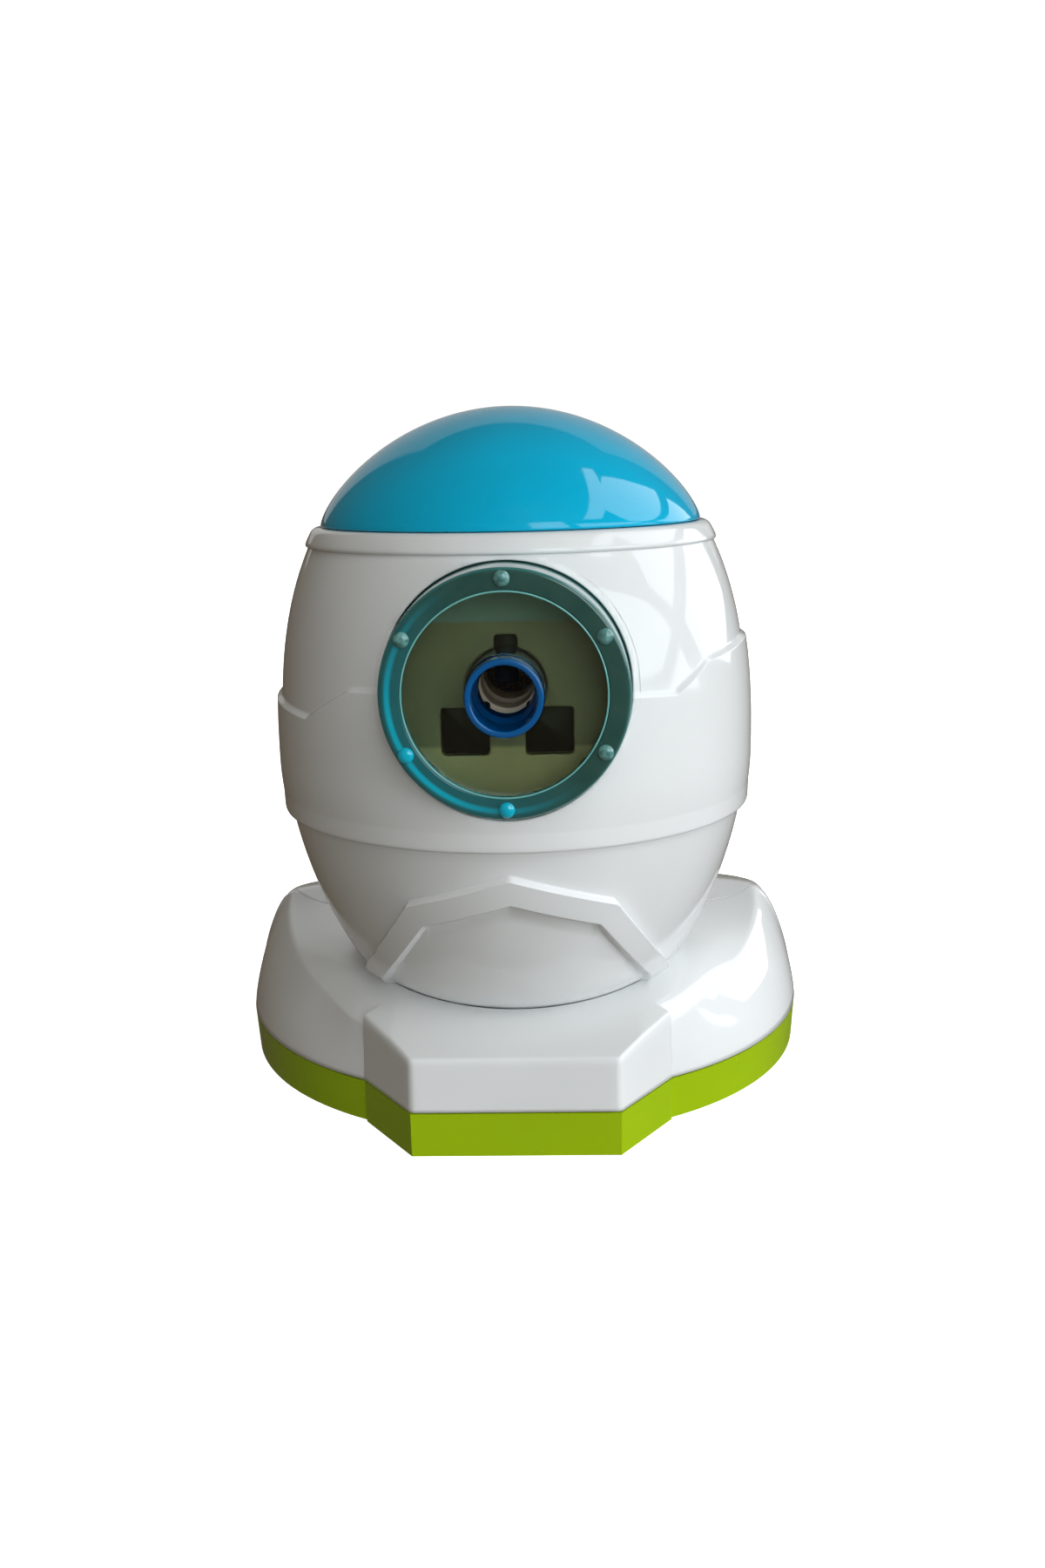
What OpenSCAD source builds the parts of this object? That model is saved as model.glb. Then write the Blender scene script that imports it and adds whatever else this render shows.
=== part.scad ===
// Hand-cranked desk pencil sharpener with a porthole faceplate.
// The origin lies on the underside, on the axis of the round body.
// X is to the right, Y to the back, Z up. All sizes are millimetres.

/* [Body] */
// Largest radius of the round body
body_r = 42; // [40:0.5:46]
// Height of the widest point of the body
widest_z = 62; // [60:0.5:64]
// Height at which the lip under the dome begins
lip_z = 98.9; // [96:0.1:100]
// Height of the lip
lip_h = 3.1; // [2:0.1:4]
// How far the raised bands stand out
band_rise = 0.7; // [0.4:0.1:1.2]
// Height of the lower raised band
band_z = 53.4; // [50:0.1:56]
// Width of the lower raised band
band_h = 3.4; // [2:0.1:5]
// How far the chevron frame stands out
chevron_rise = 1; // [0.5:0.1:1.5]
// Thickness of the moulded shells
wall = 2.2; // [1.6:0.1:2.6]
// Radius of the open bottom of the body
chute_r = 14; // [10:0.5:15]

/* [Dome] */
// Height of the dome above the lip
dome_h = 19.1; // [14:0.1:22]
// Radius of the dome at its edge
dome_r = 33.7; // [32.5:0.1:34.2]
// Length of the skirt that plugs into the body
skirt_h = 3.2; // [2:0.1:6]

/* [Base] */
// Distance of the base disc's centre behind the body's axis
base_y = 22.6; // [18:0.1:24]
// Radius of the base disc
base_r = 54.9; // [53:0.1:58]
// Height of the coloured rim
rim_h = 7.7; // [7:0.1:9]
// Thickness of the base plate's floor
floor_t = 2.2; // [1.8:0.1:2.4]
// Distance of the front tab's face in front of the body's axis
tab_y = 38.6; // [37:0.1:42]
// Half the width of the front tab at its face
tab_w = 17.6; // [14:0.1:20]
// Height of the deck at the tab's face
tab_z = 17.2; // [16.5:0.1:19]
// Height of the middle of the deck
deck_z = 25; // [23.5:0.1:26]
// Height of the side lobes at the seam
lobe_z = 28.5; // [27.5:0.1:31]
// Radius of the lobes' crest about the base disc's centre
crest_r = 46; // [45:0.1:47]
// Radius of a foot pad
foot_r = 5; // [3:0.1:5.5]
// Depth of a foot pad's pocket
foot_h = 1.2; // [0.8:0.1:1.4]

/* [Drawer] */
// Width of the shavings drawer
drawer_w = 43.4; // [36:0.2:43.4]
// Height of the drawer's rim above the table
drawer_top = 12.8; // [11:0.1:12.9]
// Distance of the drawer's inner end in front of the body's axis
drawer_y = 17; // [15:0.5:19]
// Thickness of the drawer's walls
drawer_wall = 1.5; // [1:0.1:2.2]
// Radius of the finger notch in the drawer's face
notch_r = 7; // [5:0.5:8]

/* [Faceplate] */
// Height of the pencil's axis
axis_z = 78.4; // [77.5:0.1:78.6]
// Distance of the faceplate's rim in front of the body's axis
face_y = 43.3; // [42.8:0.1:46]
// Outer radius of the faceplate at its rim
face_r = 19; // [18.4:0.1:19.2]
// Outer radius of the faceplate at its back edge
face_back_r = 19.9; // [19.4:0.1:20]
// Inner radius of the faceplate's rim
pane_r = 16.1; // [15:0.1:16.4]
// Depth of the pane below the rim
pane_step = 1.2; // [0.6:0.1:2]
// Thickness of the pane
pane_t = 1.6; // [1:0.1:2]
// Radius of the round studs on the rim
stud_r = 1.3; // [0.8:0.1:1.4]
// Number of studs on the rim
stud_count = 6; // [3:1:12]
// Travel of the faceplate when it is pulled out
face_travel = 24; // [10:1:25]

/* [Pencil path] */
// Radius of the pencil hole
hole_r = 5; // [4.4:0.1:5.2]
// Thickness of the pencil tube's wall
tube_wall = 1; // [0.8:0.1:1.4]
// Length of the pencil tube
tube_l = 12.7; // [9:0.1:12.9]
// Radius of the hole where the tube ends
tube_exit_r = 4.4; // [4:0.1:4.8]
// Length of the straight part of the pencil hole
tube_straight = 7; // [4:0.1:8]
// Bore radius of the pencil guide
guide_r = 4.3; // [3.8:0.1:4.5]

/* [Jaws] */
// Thickness of a jaw
jaw_t = 4; // [3:0.1:4.2]
// Travel of a jaw
jaw_travel = 3.4; // [2.5:0.1:3.6]
// Distance of a closed jaw's tip from the pencil's axis
jaw_tip = 0.6; // [0.5:0.1:1.2]
// Width of a jaw's blade
jaw_w = 3.2; // [2.4:0.1:4]
// Side of a lower jaw's block
block_w = 8; // [7:0.1:8.2]
// Distance of a lower jaw's block from the pencil's axis
block_d = 9.7; // [9.4:0.1:10]
// Angle of the lower jaws below the level
jaw_angle = 47; // [44:1:50]
// Radius of a jaw's pin
jaw_pin_r = 1.1; // [0.8:0.1:1.3]
// Distance of a closed jaw's pin from the pencil's axis
jaw_pin_d = 8.6; // [8.4:0.1:9]
// Turn of the release ring that opens the jaws
release_turn = 24; // [20:1:28]
// Outer radius of the release ring
release_r = 14.7; // [14.4:0.1:15]
// Thickness of the release ring
release_t = 2; // [1.2:0.1:2.2]
// Width of the release ring's thumb tab
thumb_w = 5; // [4:0.1:7]

/* [Guide rods] */
// Distance of a guide rod from the pencil's axis
rod_x = 17; // [16.8:0.05:17.2]
// Radius of a guide rod
rod_r = 1.4; // [1:0.1:1.5]
// Thickness of the wall of a rod's bush
bush_wall = 1.3; // [0.8:0.1:1.6]

/* [Bulkheads] */
// Radius of both bulkheads
bulkhead_r = 29; // [28.6:0.1:30]
// Thickness of both bulkheads
bulkhead_t = 3; // [2:0.1:3.4]
// Distance of the screws from the pencil's axis
boss_d = 25.5; // [25:0.1:25.8]
// Radius of a screw boss
boss_r = 3; // [2.6:0.1:3.2]
// Height at which the bulkheads are cut flat
bulkhead_top = 99; // [97:0.5:99.5]

/* [Cutter] */
// Radius of the helical cutter
cutter_r = 4.6; // [4:0.1:4.7]
// Length of the cutter's teeth
cutter_l = 18.5; // [14:0.1:18.6]
// Number of cutter teeth
cutter_teeth = 16; // [13:1:20]
// Depth of the cutter's teeth
tooth_depth = 0.7; // [0.4:0.1:1]
// Twist of the teeth from end to end
cutter_twist = 70; // [30:5:90]
// Tilt of the cutter's axle
cutter_tilt = 11.3; // [9:0.1:12]
// Radius of the cutter's axle
axle_r = 1.5; // [1.2:0.1:1.6]
// Tooth module of the gear pair
gear_module = 0.9; // [0.88:0.01:0.92]
// Number of teeth on the pinion
pinion_teeth = 12; // [12:12:12]
// Number of teeth in the ring gear
ring_teeth = 24; // [24:12:24]
// Width of the pinion
pinion_w = 3; // [2:0.1:3.4]
// Outer radius of the ring gear
ring_r = 14; // [13.4:0.1:14.4]

/* [Crank] */
// Radius of the crank shaft
shaft_r = 3; // [2.4:0.1:3.6]
// Distance from the shaft to the knob's pin
crank_l = 38; // [34:0.5:40]
// Thickness of the crank arm
arm_t = 4; // [3:0.1:5]
// Radius of the arm's hub
hub_r = 8; // [6.5:0.1:9]
// Radius of the arm's knob end
arm_end_r = 6; // [5:0.1:7]
// Radius of the knob
knob_r = 7.5; // [6:0.1:8]
// Length of the knob
knob_l = 27; // [20:0.5:32]
// Radius of the knob's pin
pin_r = 2.2; // [1.6:0.1:2.6]

/* [Fits] */
// Gap between a moving piece and what it passes
clear = 0.35; // [0.3:0.01:0.4]
// Gap between two pieces that are fitted together
seam = 0.1; // [0.05:0.01:0.15]
// Running fit of a shaft in its bush
run_fit = 0.05; // [0.03:0.01:0.08]
// Gap that shows between two covers
joint_gap = 0.3; // [0.2:0.05:0.4]
// Radius of the screws' shanks
screw_r = 1.3; // [1:0.1:1.4]
// Radius of the screws' heads
screw_head_r = 2.5; // [2.2:0.1:2.6]
// Height of the screws' heads
screw_head_h = 1.6; // [1:0.1:1.8]

/* [Hidden] */
$fn = 96;
over = 1;

// Heights of the body
lip_top = lip_z + lip_h;
dome_z = lip_top + joint_gap;
dome_bow = 1.3;
crown_depth = 58.8;
crown_bow = 2.6;
belly_depth = 56.6;
belly_bow = 1.7;
bowl_z = 26;
bowl_depth = 12.5;
bowl_bow = 1.15;
neck_z = drawer_top + 0.4;
neck_top = 17;
neck_wall = 2.2;
raised_top = 90;
raised_rise = band_rise * 0.8;
collar_wall = 1.8;
collar_back = -28;
skirt_wall = 1.9;

// Places along the pencil's axis, front to back
rim_front = -face_y;
pane_front = rim_front + pane_step;
pane_back = pane_front + pane_t;
tube_front = pane_front - 3.1;
tube_back = tube_front + tube_l;
carrier_front = -33.5;
jaw_front = carrier_front + 1.3;
jaw_back = jaw_front + jaw_t;
web_front = jaw_back + 0.2;
web_back = web_front + 1.5;
release_front = web_back + 0.3;
release_back = release_front + release_t;
clip_t = 0.8;
clip_front = release_back + 0.15;
hub_back = clip_front + clip_t + 0.2;
front_plate = -21.5;
front_plate_back = front_plate + bulkhead_t;
guide_back = -12.9;
cage_front = -15.5;
cage_front_back = -12.7;
rear_plate = 11.5;
rear_plate_back = rear_plate + bulkhead_t;
gear_y = 12.7;
ring_front = gear_y - 2.4;
ring_back = gear_y + 2.4;
disc_front = ring_back + 0.7;
disc_back = disc_front + 3;
rod_front = jaw_front;
rod_back = 9.8;
rod_clip_t = 0.8;
rod_clip_front = rod_back - 1.55;
rod_neck_r = rod_r - 0.4;
shaft_flange_t = 1.5;
boss_face = body_r + 0.3;
bush_flange_t = 0.8;
bush_front = 31;
arm_front = boss_face + bush_flange_t + 0.3;
arm_back = arm_front + arm_t;
hub_face = arm_back + 1;
knob_front = arm_back + 0.4;
knob_back = knob_front + knob_l;
pin_head_t = 1.6;
knob_z = axis_z - crank_l;

// Radii about the pencil's axis
face_hole_r = face_back_r + clear;
carrier_r = face_back_r - 0.5;
skirt_r = face_r - 1.6;
tube_r = hole_r + tube_wall;
hub_out_r = 6;
guide_out_r = 5.8;
guide_seat_r = 7;
cage_r = 9.2;
cage_in_r = 6.6;
cage_disc_r = 13.2;
boss_angles = [35, 145, 215, 325];
boss_hole_r = screw_r + seam / 4;
bush_r = rod_r + run_fit + bush_wall;
rear_bush_r = shaft_r + 2;

// The gear pair
pinion_pitch = gear_module * pinion_teeth / 2;
ring_pitch = gear_module * ring_teeth / 2;
gear_offset = ring_pitch - pinion_pitch;
pressure = 20;
flank_steps = 4;
gear_slack = 0.12;

// Places along the cutter's axle, forward from the gears
cutter_start = 4;
axle_front = 27.6;
axle_back = -4.9;

// Heights and places in the base
cover_z = rim_h + seam;
drawer_z = floor_t + clear;
drawer_half = drawer_w / 2;
post_x = drawer_half + 3.3;
post_y = 7;
post_r = 3;
lug_top = 16.5;
crease = [26.9, 25.4];
deck_break = 7.5;
deck_slope = (deck_z - tab_z) / (tab_y - deck_break);
lobe_fall = 0.223;
lobe_in_r = 33;
lobe_trough_r = 41;
lobe_foot_z = 16;
base_reach = base_r + 10;
cover_bosses = [[40, 4], [-40, 4], [0, -32], [40, 44], [-40, 44]];
foot_places = [[33, -2], [-33, -2], [33, 52], [-33, 52]];
shell_screw_x = 33;
shell_screw_z = 48;
counterbore_y = 12;
rail_l = base_y + 30;

// Radius of the body at a height, without its bands
function body_at(z) =
    z > widest_z ? body_r * sqrt(1 - pow((z - widest_z) / crown_depth, crown_bow)) :
    z > bowl_z ? body_r * sqrt(1 - pow((widest_z - z) / belly_depth, belly_bow)) :
    body_at(bowl_z + seam) * sqrt(max(0, 1 - pow((bowl_z - z) / bowl_depth, bowl_bow)));

// Heights at which the body's outline has a point
body_heights = [15.5, 16.5, 17.5, 18.5, 20, 21.5, 23, 24.5, 26, 29, 32, 35.5, 39, 43, 47,
    51, 55, 59, 63, 67, 71, 75, 79, 83, 87, 91, 95, lip_z - 0.1, lip_top];

// Solid body outline, grown outward by off
module body_solid(off = 0, top = lip_top) {
    heights = [for (z = body_heights) if (z < top) z];
    rotate_extrude()
        polygon(concat([[0, heights[0]]], [for (z = heights) [body_at(z) + off, z]],
            [[body_at(top) + off, top], [0, top]]));
}

// Ring that follows the body's outline between two heights, with a bevelled top
module body_band(z0, z1, rise) {
    inner = wall / 2;
    rotate_extrude()
        polygon([[body_at(z0) - inner, z0], [body_at(z0) + rise * 0.6, z0],
            [body_at(z0 + 0.4) + rise, z0 + 0.4],
            [body_at(z1 - rise) + rise, z1 - rise], [body_at(z1) + rise * 0.3, z1],
            [body_at(z1) - inner, z1]]);
}

// Cylinder along Y, by default on the pencil's axis
module rod_y(r, y0, y1, x = 0, z = axis_z) {
    translate([x, y1, z]) rotate([90, 0, 0]) cylinder(r = r, h = y1 - y0);
}

// Extrudes an outline drawn as [x, height above the pencil's axis] from y0 to y1
module prism_y(y0, y1, z = axis_z) {
    translate([0, y1, z]) rotate([90, 0, 0]) linear_extrude(height = y1 - y0) children();
}

// Turns a list of [radius, y] points about the pencil's axis
module turned(points, x = 0, z = axis_z) {
    translate([x, 0, z]) rotate([-90, 0, 0]) rotate_extrude() polygon(points);
}

// Screw with its head's outer face at the origin and its shank along +Z
module screw(length, r = screw_r, head_r = screw_head_r, head_h = screw_head_h) {
    difference() {
        union() {
            cylinder(r1 = head_r * 0.8, r2 = head_r, h = head_h * 0.4);
            translate([0, 0, head_h * 0.4]) cylinder(r = head_r, h = head_h * 0.6);
            translate([0, 0, head_h]) cylinder(r = r, h = length);
        }
        for (a = [0, 90]) rotate([0, 0, a])
            translate([-head_r * 0.6, -0.3, -over]) cube([head_r * 1.2, 0.6, over + head_h / 2]);
    }
}

// Screw along Y: its head's face at y, its shank towards dir
module screw_y(x, y, z, length, dir = 1) {
    translate([x, y, z]) rotate([-90 * dir, 0, 0]) screw(length);
}

// Places its children at each bulkhead screw
module at_bosses() {
    for (a = boss_angles)
        translate([boss_d * cos(a), 0, boss_d * sin(a)]) children();
}

// Front outline of the chevron frame
module chevron_outline() {
    difference() {
        polygon([[-26.1, 27.6], [-16.9, 44.1], [0, 49.5], [16.9, 44.1], [26.1, 27.6],
            [21.9, 25], [-21.9, 25]]);
        polygon([[-21.9, 24], [-21.9, 26.5], [-14.3, 39], [0, 43.9], [14.3, 39],
            [21.9, 26.5], [21.9, 24]]);
    }
}

// Zigzag edge of the raised middle of the body, left to right
zigzag = [[-44, 75.5], [-39.4, 74.5], [-33.6, 72.7], [-25, 78.7], [-19.7, 78.9],
    [19.7, 77.6], [26.4, 77.1], [32.1, 81.6], [39.1, 83], [44, 83]];

// The whole body as one hollow shell, before it is parted
module body_shell() {
    difference() {
        union() {
            body_solid();
            body_band(lip_z, lip_top, band_rise);
            body_band(band_z, band_z + band_h, band_rise);
            intersection() {
                body_solid(raised_rise, raised_top);
                prism_y(-body_r - 2, body_r + 2, 0)
                    polygon(concat([[-44, band_z + 1], [44, band_z + 1]],
                        [for (i = [len(zigzag) - 1 : -1 : 0]) zigzag[i]]));
            }
            intersection() {
                body_solid(chevron_rise, band_z);
                prism_y(-body_r - 2, 0, 0) chevron_outline();
            }
            translate([0, 0, neck_z])
                cylinder(r = chute_r + neck_wall, h = neck_top - neck_z);
        }
        body_cavity();
        translate([0, 0, neck_z - over]) cylinder(r = chute_r, h = neck_top + over);
    }
}

// Hollow inside the body
module body_cavity() {
    heights = [for (z = body_heights) if (z > neck_top + 1 && z < lip_z) z];
    rotate_extrude()
        polygon(concat([[0, neck_top + 1], [chute_r, neck_top + 1]],
            [for (z = heights) [max(chute_r, body_at(z) - wall), z]],
            [[body_at(lip_z) - wall, lip_z], [body_at(lip_z) - wall, lip_top + over],
                [0, lip_top + over]]));
}

// Keeps what lies in front of (dir = -1) or behind (dir = 1) the parting plane
module half_space(dir, y, gap) {
    size = 200;
    translate([-size / 2, dir > 0 ? y + gap / 2 : y - gap / 2 - size, -size / 2])
        cube([size, size, 2 * size]);
}

// Lugs that carry the body on the base plate's posts
module body_lugs(dir) {
    for (side = [-1, 1]) {
        translate([side > 0 ? chute_r + 0.5 : -post_x, dir * post_y - post_r, neck_z])
            cube([post_x - chute_r - 0.5, 2 * post_r, lug_top - neck_z]);
        translate([side * post_x, dir * post_y, neck_z])
            cylinder(r = post_r, h = lug_top - neck_z);
    }
}

module lug_holes(dir) {
    for (side = [-1, 1])
        translate([side * post_x, dir * post_y, neck_z - over])
            cylinder(r = boss_hole_r, h = lug_top - neck_z + 2 * over);
}

// Collar round the faceplate, cut away under the dome's skirt
module collar() {
    intersection() {
        rod_y(face_hole_r + collar_wall, -body_r, collar_back);
        translate([-body_r, -body_r, 0]) cube([2 * body_r, body_r, lip_top - skirt_h - seam]);
    }
}

module egg_front_shell() {
    color("white")
    difference() {
        union() {
            intersection() {
                body_shell();
                half_space(-1, 0, seam);
            }
            intersection() {
                union() {
                    collar();
                    translate([0, 0, axis_z]) at_bosses() rod_y(boss_r, -body_r, front_plate, 0, 0);
                    for (side = [-1, 1])
                        rod_y(boss_r, -body_r, -seam / 2, side * shell_screw_x, shell_screw_z);
                }
                body_solid();
            }
            body_lugs(-1);
        }
        rod_y(face_hole_r, -body_r - 5, front_plate + over);
        translate([0, 0, axis_z]) at_bosses() rod_y(boss_hole_r, front_plate - 8, front_plate + over, 0, 0);
        for (side = [-1, 1])
            rod_y(boss_hole_r, -10, over, side * shell_screw_x, shell_screw_z);
        lug_holes(-1);
    }
}

module egg_rear_shell() {
    color("white")
    difference() {
        union() {
            intersection() {
                body_shell();
                half_space(1, 0, seam);
            }
            intersection() {
                union() {
                    rod_y(hub_r, bush_front, body_r);
                    translate([0, 0, axis_z]) at_bosses() rod_y(boss_r, rear_plate_back, body_r, 0, 0);
                    for (side = [-1, 1])
                        rod_y(boss_r + 0.6, seam / 2, body_r, side * shell_screw_x, shell_screw_z);
                }
                body_solid();
            }
            rod_y(hub_r + 1, body_r - 4, boss_face);
            body_lugs(1);
        }
        rod_y(rear_bush_r + seam / 4, bush_front - over, boss_face + over);
        translate([0, 0, axis_z]) at_bosses()
            rod_y(boss_hole_r, rear_plate_back - over, rear_plate_back + 8, 0, 0);
        for (side = [-1, 1]) {
            rod_y(screw_r + seam, -over, body_r, side * shell_screw_x, shell_screw_z);
            rod_y(screw_head_r + seam, counterbore_y, body_r, side * shell_screw_x, shell_screw_z);
        }
        lug_holes(1);
    }
}

// Radius of the dome at height t, from 0 at its edge to 1 at its top
function dome_at(t, r, h) = [r * sqrt(max(0, 1 - pow(t, dome_bow))), dome_z + h * t];

module dome_cap() {
    steps = [for (i = [0 : 19]) 1 - pow(1 - i / 19, 1.6)];
    skirt_out = body_at(lip_z) - wall - 2 * seam;
    cavity_r = min(dome_r - wall / 3, skirt_out) - skirt_wall;
    color("deepskyblue")
    difference() {
        union() {
            rotate_extrude()
                polygon(concat([[0, dome_z]], [for (t = steps) dome_at(t, dome_r, dome_h)]));
            translate([0, 0, lip_top - skirt_h]) cylinder(r = skirt_out, h = skirt_h + joint_gap + 1);
        }
        rotate_extrude()
            polygon(concat([[0, dome_z - over], [cavity_r, dome_z - over]],
                [for (t = steps) dome_at(t, cavity_r, dome_h - wall)]));
        translate([0, 0, lip_top - skirt_h - over]) cylinder(r = cavity_r, h = skirt_h + over);
    }
}

// Plan of the base, drawn in by inset
module base_plan(inset = 0, r = base_r) {
    translate([0, base_y]) circle(r = r - inset);
    polygon([[-tab_w + inset * 0.6, -tab_y + inset], [tab_w - inset * 0.6, -tab_y + inset],
        [crease[0] - inset, -crease[1] + inset * 0.3], [crease[0] - inset, 0],
        [-crease[0] + inset, 0], [-crease[0] + inset, -crease[1] + inset * 0.3]]);
}

// Side lobes of the base, drawn in by inset
module base_lobes(inset = 0) {
    steps = [for (i = [0 : 12]) i / 12];
    rise = lobe_z - rim_h;
    bottom = inset > 0 ? rim_h - over : cover_z;
    intersection() {
        translate([0, base_y, 0]) rotate_extrude()
            polygon(concat([[lobe_in_r + inset, bottom], [base_r - inset, bottom]],
                [for (t = steps) [max(crest_r, crest_r - inset + (base_r - crest_r)
                    * pow(1 - pow(t, 1.35), 1 / 1.75)), max(bottom, rim_h + rise * t - inset)]],
                [[lobe_trough_r + inset * 0.45, deck_z - inset * 0.9],
                    [lobe_in_r + inset * 0.9, lobe_foot_z - inset * 0.7]]));
        translate([-base_reach, 0, 0]) rotate([90, 0, 90]) linear_extrude(height = 2 * base_reach)
            polygon([[-base_reach, 0], [-base_reach, lobe_z - inset - lobe_fall * (base_reach + base_y)],
                [base_y, lobe_z - inset],
                [base_y + base_reach, lobe_z - inset - lobe_fall * base_reach],
                [base_y + base_reach, 0]]);
    }
}

// Deck between the lobes, drawn in by inset
module base_deck(inset = 0) {
    bottom = inset > 0 ? rim_h - over : cover_z;
    back_break = base_y + deck_break;
    reach = base_r + base_y;
    intersection() {
        translate([0, 0, bottom]) linear_extrude(height = lobe_z) base_plan(inset, crest_r);
        translate([-base_reach, 0, 0]) rotate([90, 0, 90]) linear_extrude(height = 2 * base_reach)
            polygon([[-tab_y - 1, 0], [-tab_y - 1, tab_z - deck_slope - inset],
                [-deck_break, deck_z - inset], [back_break, deck_z - inset],
                [reach, deck_z - deck_slope * (reach - back_break) - inset], [reach, 0]]);
    }
}

// Both base covers as one shell, before it is parted
module base_shell() {
    difference() {
        union() {
            difference() {
                union() {
                    base_lobes();
                    base_deck();
                }
                base_lobes(wall);
                base_deck(wall);
            }
            intersection() {
                union() {
                    base_lobes();
                    base_deck();
                }
                for (p = cover_bosses)
                    translate([p[0], p[1], cover_z]) cylinder(r = boss_r, h = lobe_z);
            }
        }
        body_solid(seam * 1.5, 60);
        drawer_tunnel();
        for (p = cover_bosses)
            translate([p[0], p[1], 0]) cylinder(r = boss_hole_r, h = cover_z + 5);
    }
}

// Room for the drawer
module drawer_tunnel() {
    side = drawer_half + clear;
    translate([-side, 0, drawer_z - clear])
        cube([2 * side, 2 * base_r, drawer_top + clear - drawer_z + clear]);
}

module base_front_cover() {
    color("white")
    intersection() {
        base_shell();
        half_space(-1, base_y, joint_gap);
    }
}

module base_rear_cover() {
    color("white")
    intersection() {
        base_shell();
        half_space(1, base_y, joint_gap);
    }
}

module base_plate() {
    draft = 0.45;
    color("yellowgreen")
    difference() {
        union() {
            difference() {
                union() {
                    translate([0, base_y, 0]) cylinder(r1 = base_r - draft, r2 = base_r, h = rim_h);
                    linear_extrude(height = rim_h) base_plan(0, base_r - draft);
                }
                translate([0, 0, floor_t]) linear_extrude(height = rim_h) base_plan(wall);
            }
            for (x = [-post_x, post_x], y = [-post_y, post_y])
                translate([x, y, 0]) cylinder(r = post_r, h = neck_z);
            for (p = cover_bosses)
                translate([p[0], p[1], 0]) cylinder(r = boss_r, h = rim_h);
            for (side = [-1, 1])
                translate([side > 0 ? drawer_half + clear : -drawer_half - clear - wall / 2, post_y + 8, 0])
                    cube([wall / 2, rail_l, rim_h]);
        }
        intersection() {
            drawer_tunnel();
            translate([-base_r, base_y, 0]) cube([2 * base_r, 2 * base_r, 2 * rim_h]);
            translate([0, 0, drawer_z - clear]) cylinder(r = 2 * base_r, h = rim_h);
        }
        for (x = [-post_x, post_x], y = [-post_y, post_y])
            translate([x, y, -over]) {
                cylinder(r = screw_r + seam, h = neck_z + 2 * over);
                cylinder(r = screw_head_r + seam, h = screw_head_h + 0.6 + over);
            }
        for (p = cover_bosses)
            translate([p[0], p[1], -over]) {
                cylinder(r = screw_r + seam, h = rim_h + 2 * over);
                cylinder(r = screw_head_r + seam, h = screw_head_h + 0.6 + over);
            }
        for (p = foot_places)
            translate([p[0], p[1], -over]) cylinder(r = foot_r + seam, h = foot_h + over);
    }
}

module foot_pads() {
    color("dimgray")
    for (p = foot_places)
        translate([p[0], p[1], 0]) cylinder(r = foot_r, h = foot_h);
}

module shavings_drawer() {
    color("whitesmoke")
    difference() {
        intersection() {
            translate([-drawer_half, -drawer_y, drawer_z])
                cube([drawer_w, 2 * base_r + drawer_y, drawer_top - drawer_z]);
            translate([0, base_y, 0]) cylinder(r = base_r - 0.2, h = drawer_top + over);
        }
        intersection() {
            translate([-drawer_half + drawer_wall, -drawer_y + drawer_wall, drawer_z + drawer_wall])
                cube([drawer_w - 2 * drawer_wall, 2 * base_r + drawer_y, drawer_top]);
            translate([0, base_y, 0]) cylinder(r = base_r - 0.2 - 2 * drawer_wall, h = 3 * drawer_top);
        }
        translate([0, base_y + base_r + 2, drawer_top]) rotate([90, 0, 0])
            cylinder(r = notch_r, h = 2 * drawer_wall + 8);
    }
}

module window_plate() {
    stud_d = (pane_r + face_r) / 2;
    color("darkcyan", 0.6) {
        turned([[tube_r + seam / 2, pane_front], [pane_r, pane_front],
            [pane_r + 0.1, rim_front + 0.4], [pane_r + 0.5, rim_front],
            [face_r - 0.5, rim_front], [face_r, rim_front + 0.5],
            [face_back_r, carrier_front], [face_back_r - 1.6, carrier_front],
            [skirt_r, pane_back], [tube_r + seam / 2, pane_back]]);
        for (i = [0 : stud_count - 1])
            translate([stud_d * sin(i * 360 / stud_count), rim_front,
                axis_z + stud_d * cos(i * 360 / stud_count)]) sphere(r = stud_r, $fn = 32);
    }
}

module pencil_tube() {
    collar_t = 1.5;
    color("royalblue")
    turned([[hole_r, tube_front + 0.4], [hole_r + 0.3, tube_front], [tube_r - 0.2, tube_front],
        [tube_r, tube_front + 0.2], [tube_r, pane_back], [tube_r + 1.2, pane_back],
        [tube_r + 1.2, pane_back + collar_t], [tube_r, pane_back + collar_t],
        [tube_r - 0.3, tube_back], [tube_exit_r, tube_back],
        [hole_r, tube_front + tube_straight]]);
}

// Outline of a jaw that points away from the pencil's axis along +X, moved out by shift
module jaw_outline(block, grow = 0, shift = 0) {
    back = block ? block_d + 1 : 8;
    half = jaw_w / 2 + grow;
    knee = jaw_tip + (jaw_w / 2 - 0.25) / 0.8;
    translate([shift, 0])
        polygon([[jaw_tip - grow, -0.25 - grow], [jaw_tip - grow, 0.25 + grow], [knee, half],
            [back + grow, half], [back + grow, -half], [knee, -half]]);
}

// Square block of a lower jaw, level with the table
module block_outline(angle, grow = 0, shift = 0) {
    side = block_w / 2 + grow;
    intersection() {
        translate([(block_d + shift) * cos(angle), (block_d + shift) * sin(angle)])
            square(2 * side, center = true);
        circle(r = block_d + block_w / 2 + 1.5 + grow + shift);
    }
}

module jaw(angle, block) {
    color("black") {
        prism_y(jaw_front, jaw_back) {
            rotate(angle) jaw_outline(block);
            if (block) block_outline(angle);
        }
        rod_y(jaw_pin_r, jaw_back - 0.5, release_back - 0.2,
            jaw_pin_d * cos(angle), axis_z + jaw_pin_d * sin(angle));
    }
}

module top_jaw() jaw(90, false);

module left_jaw() jaw(180 + jaw_angle, true);

module right_jaw() jaw(-jaw_angle, true);

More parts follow.
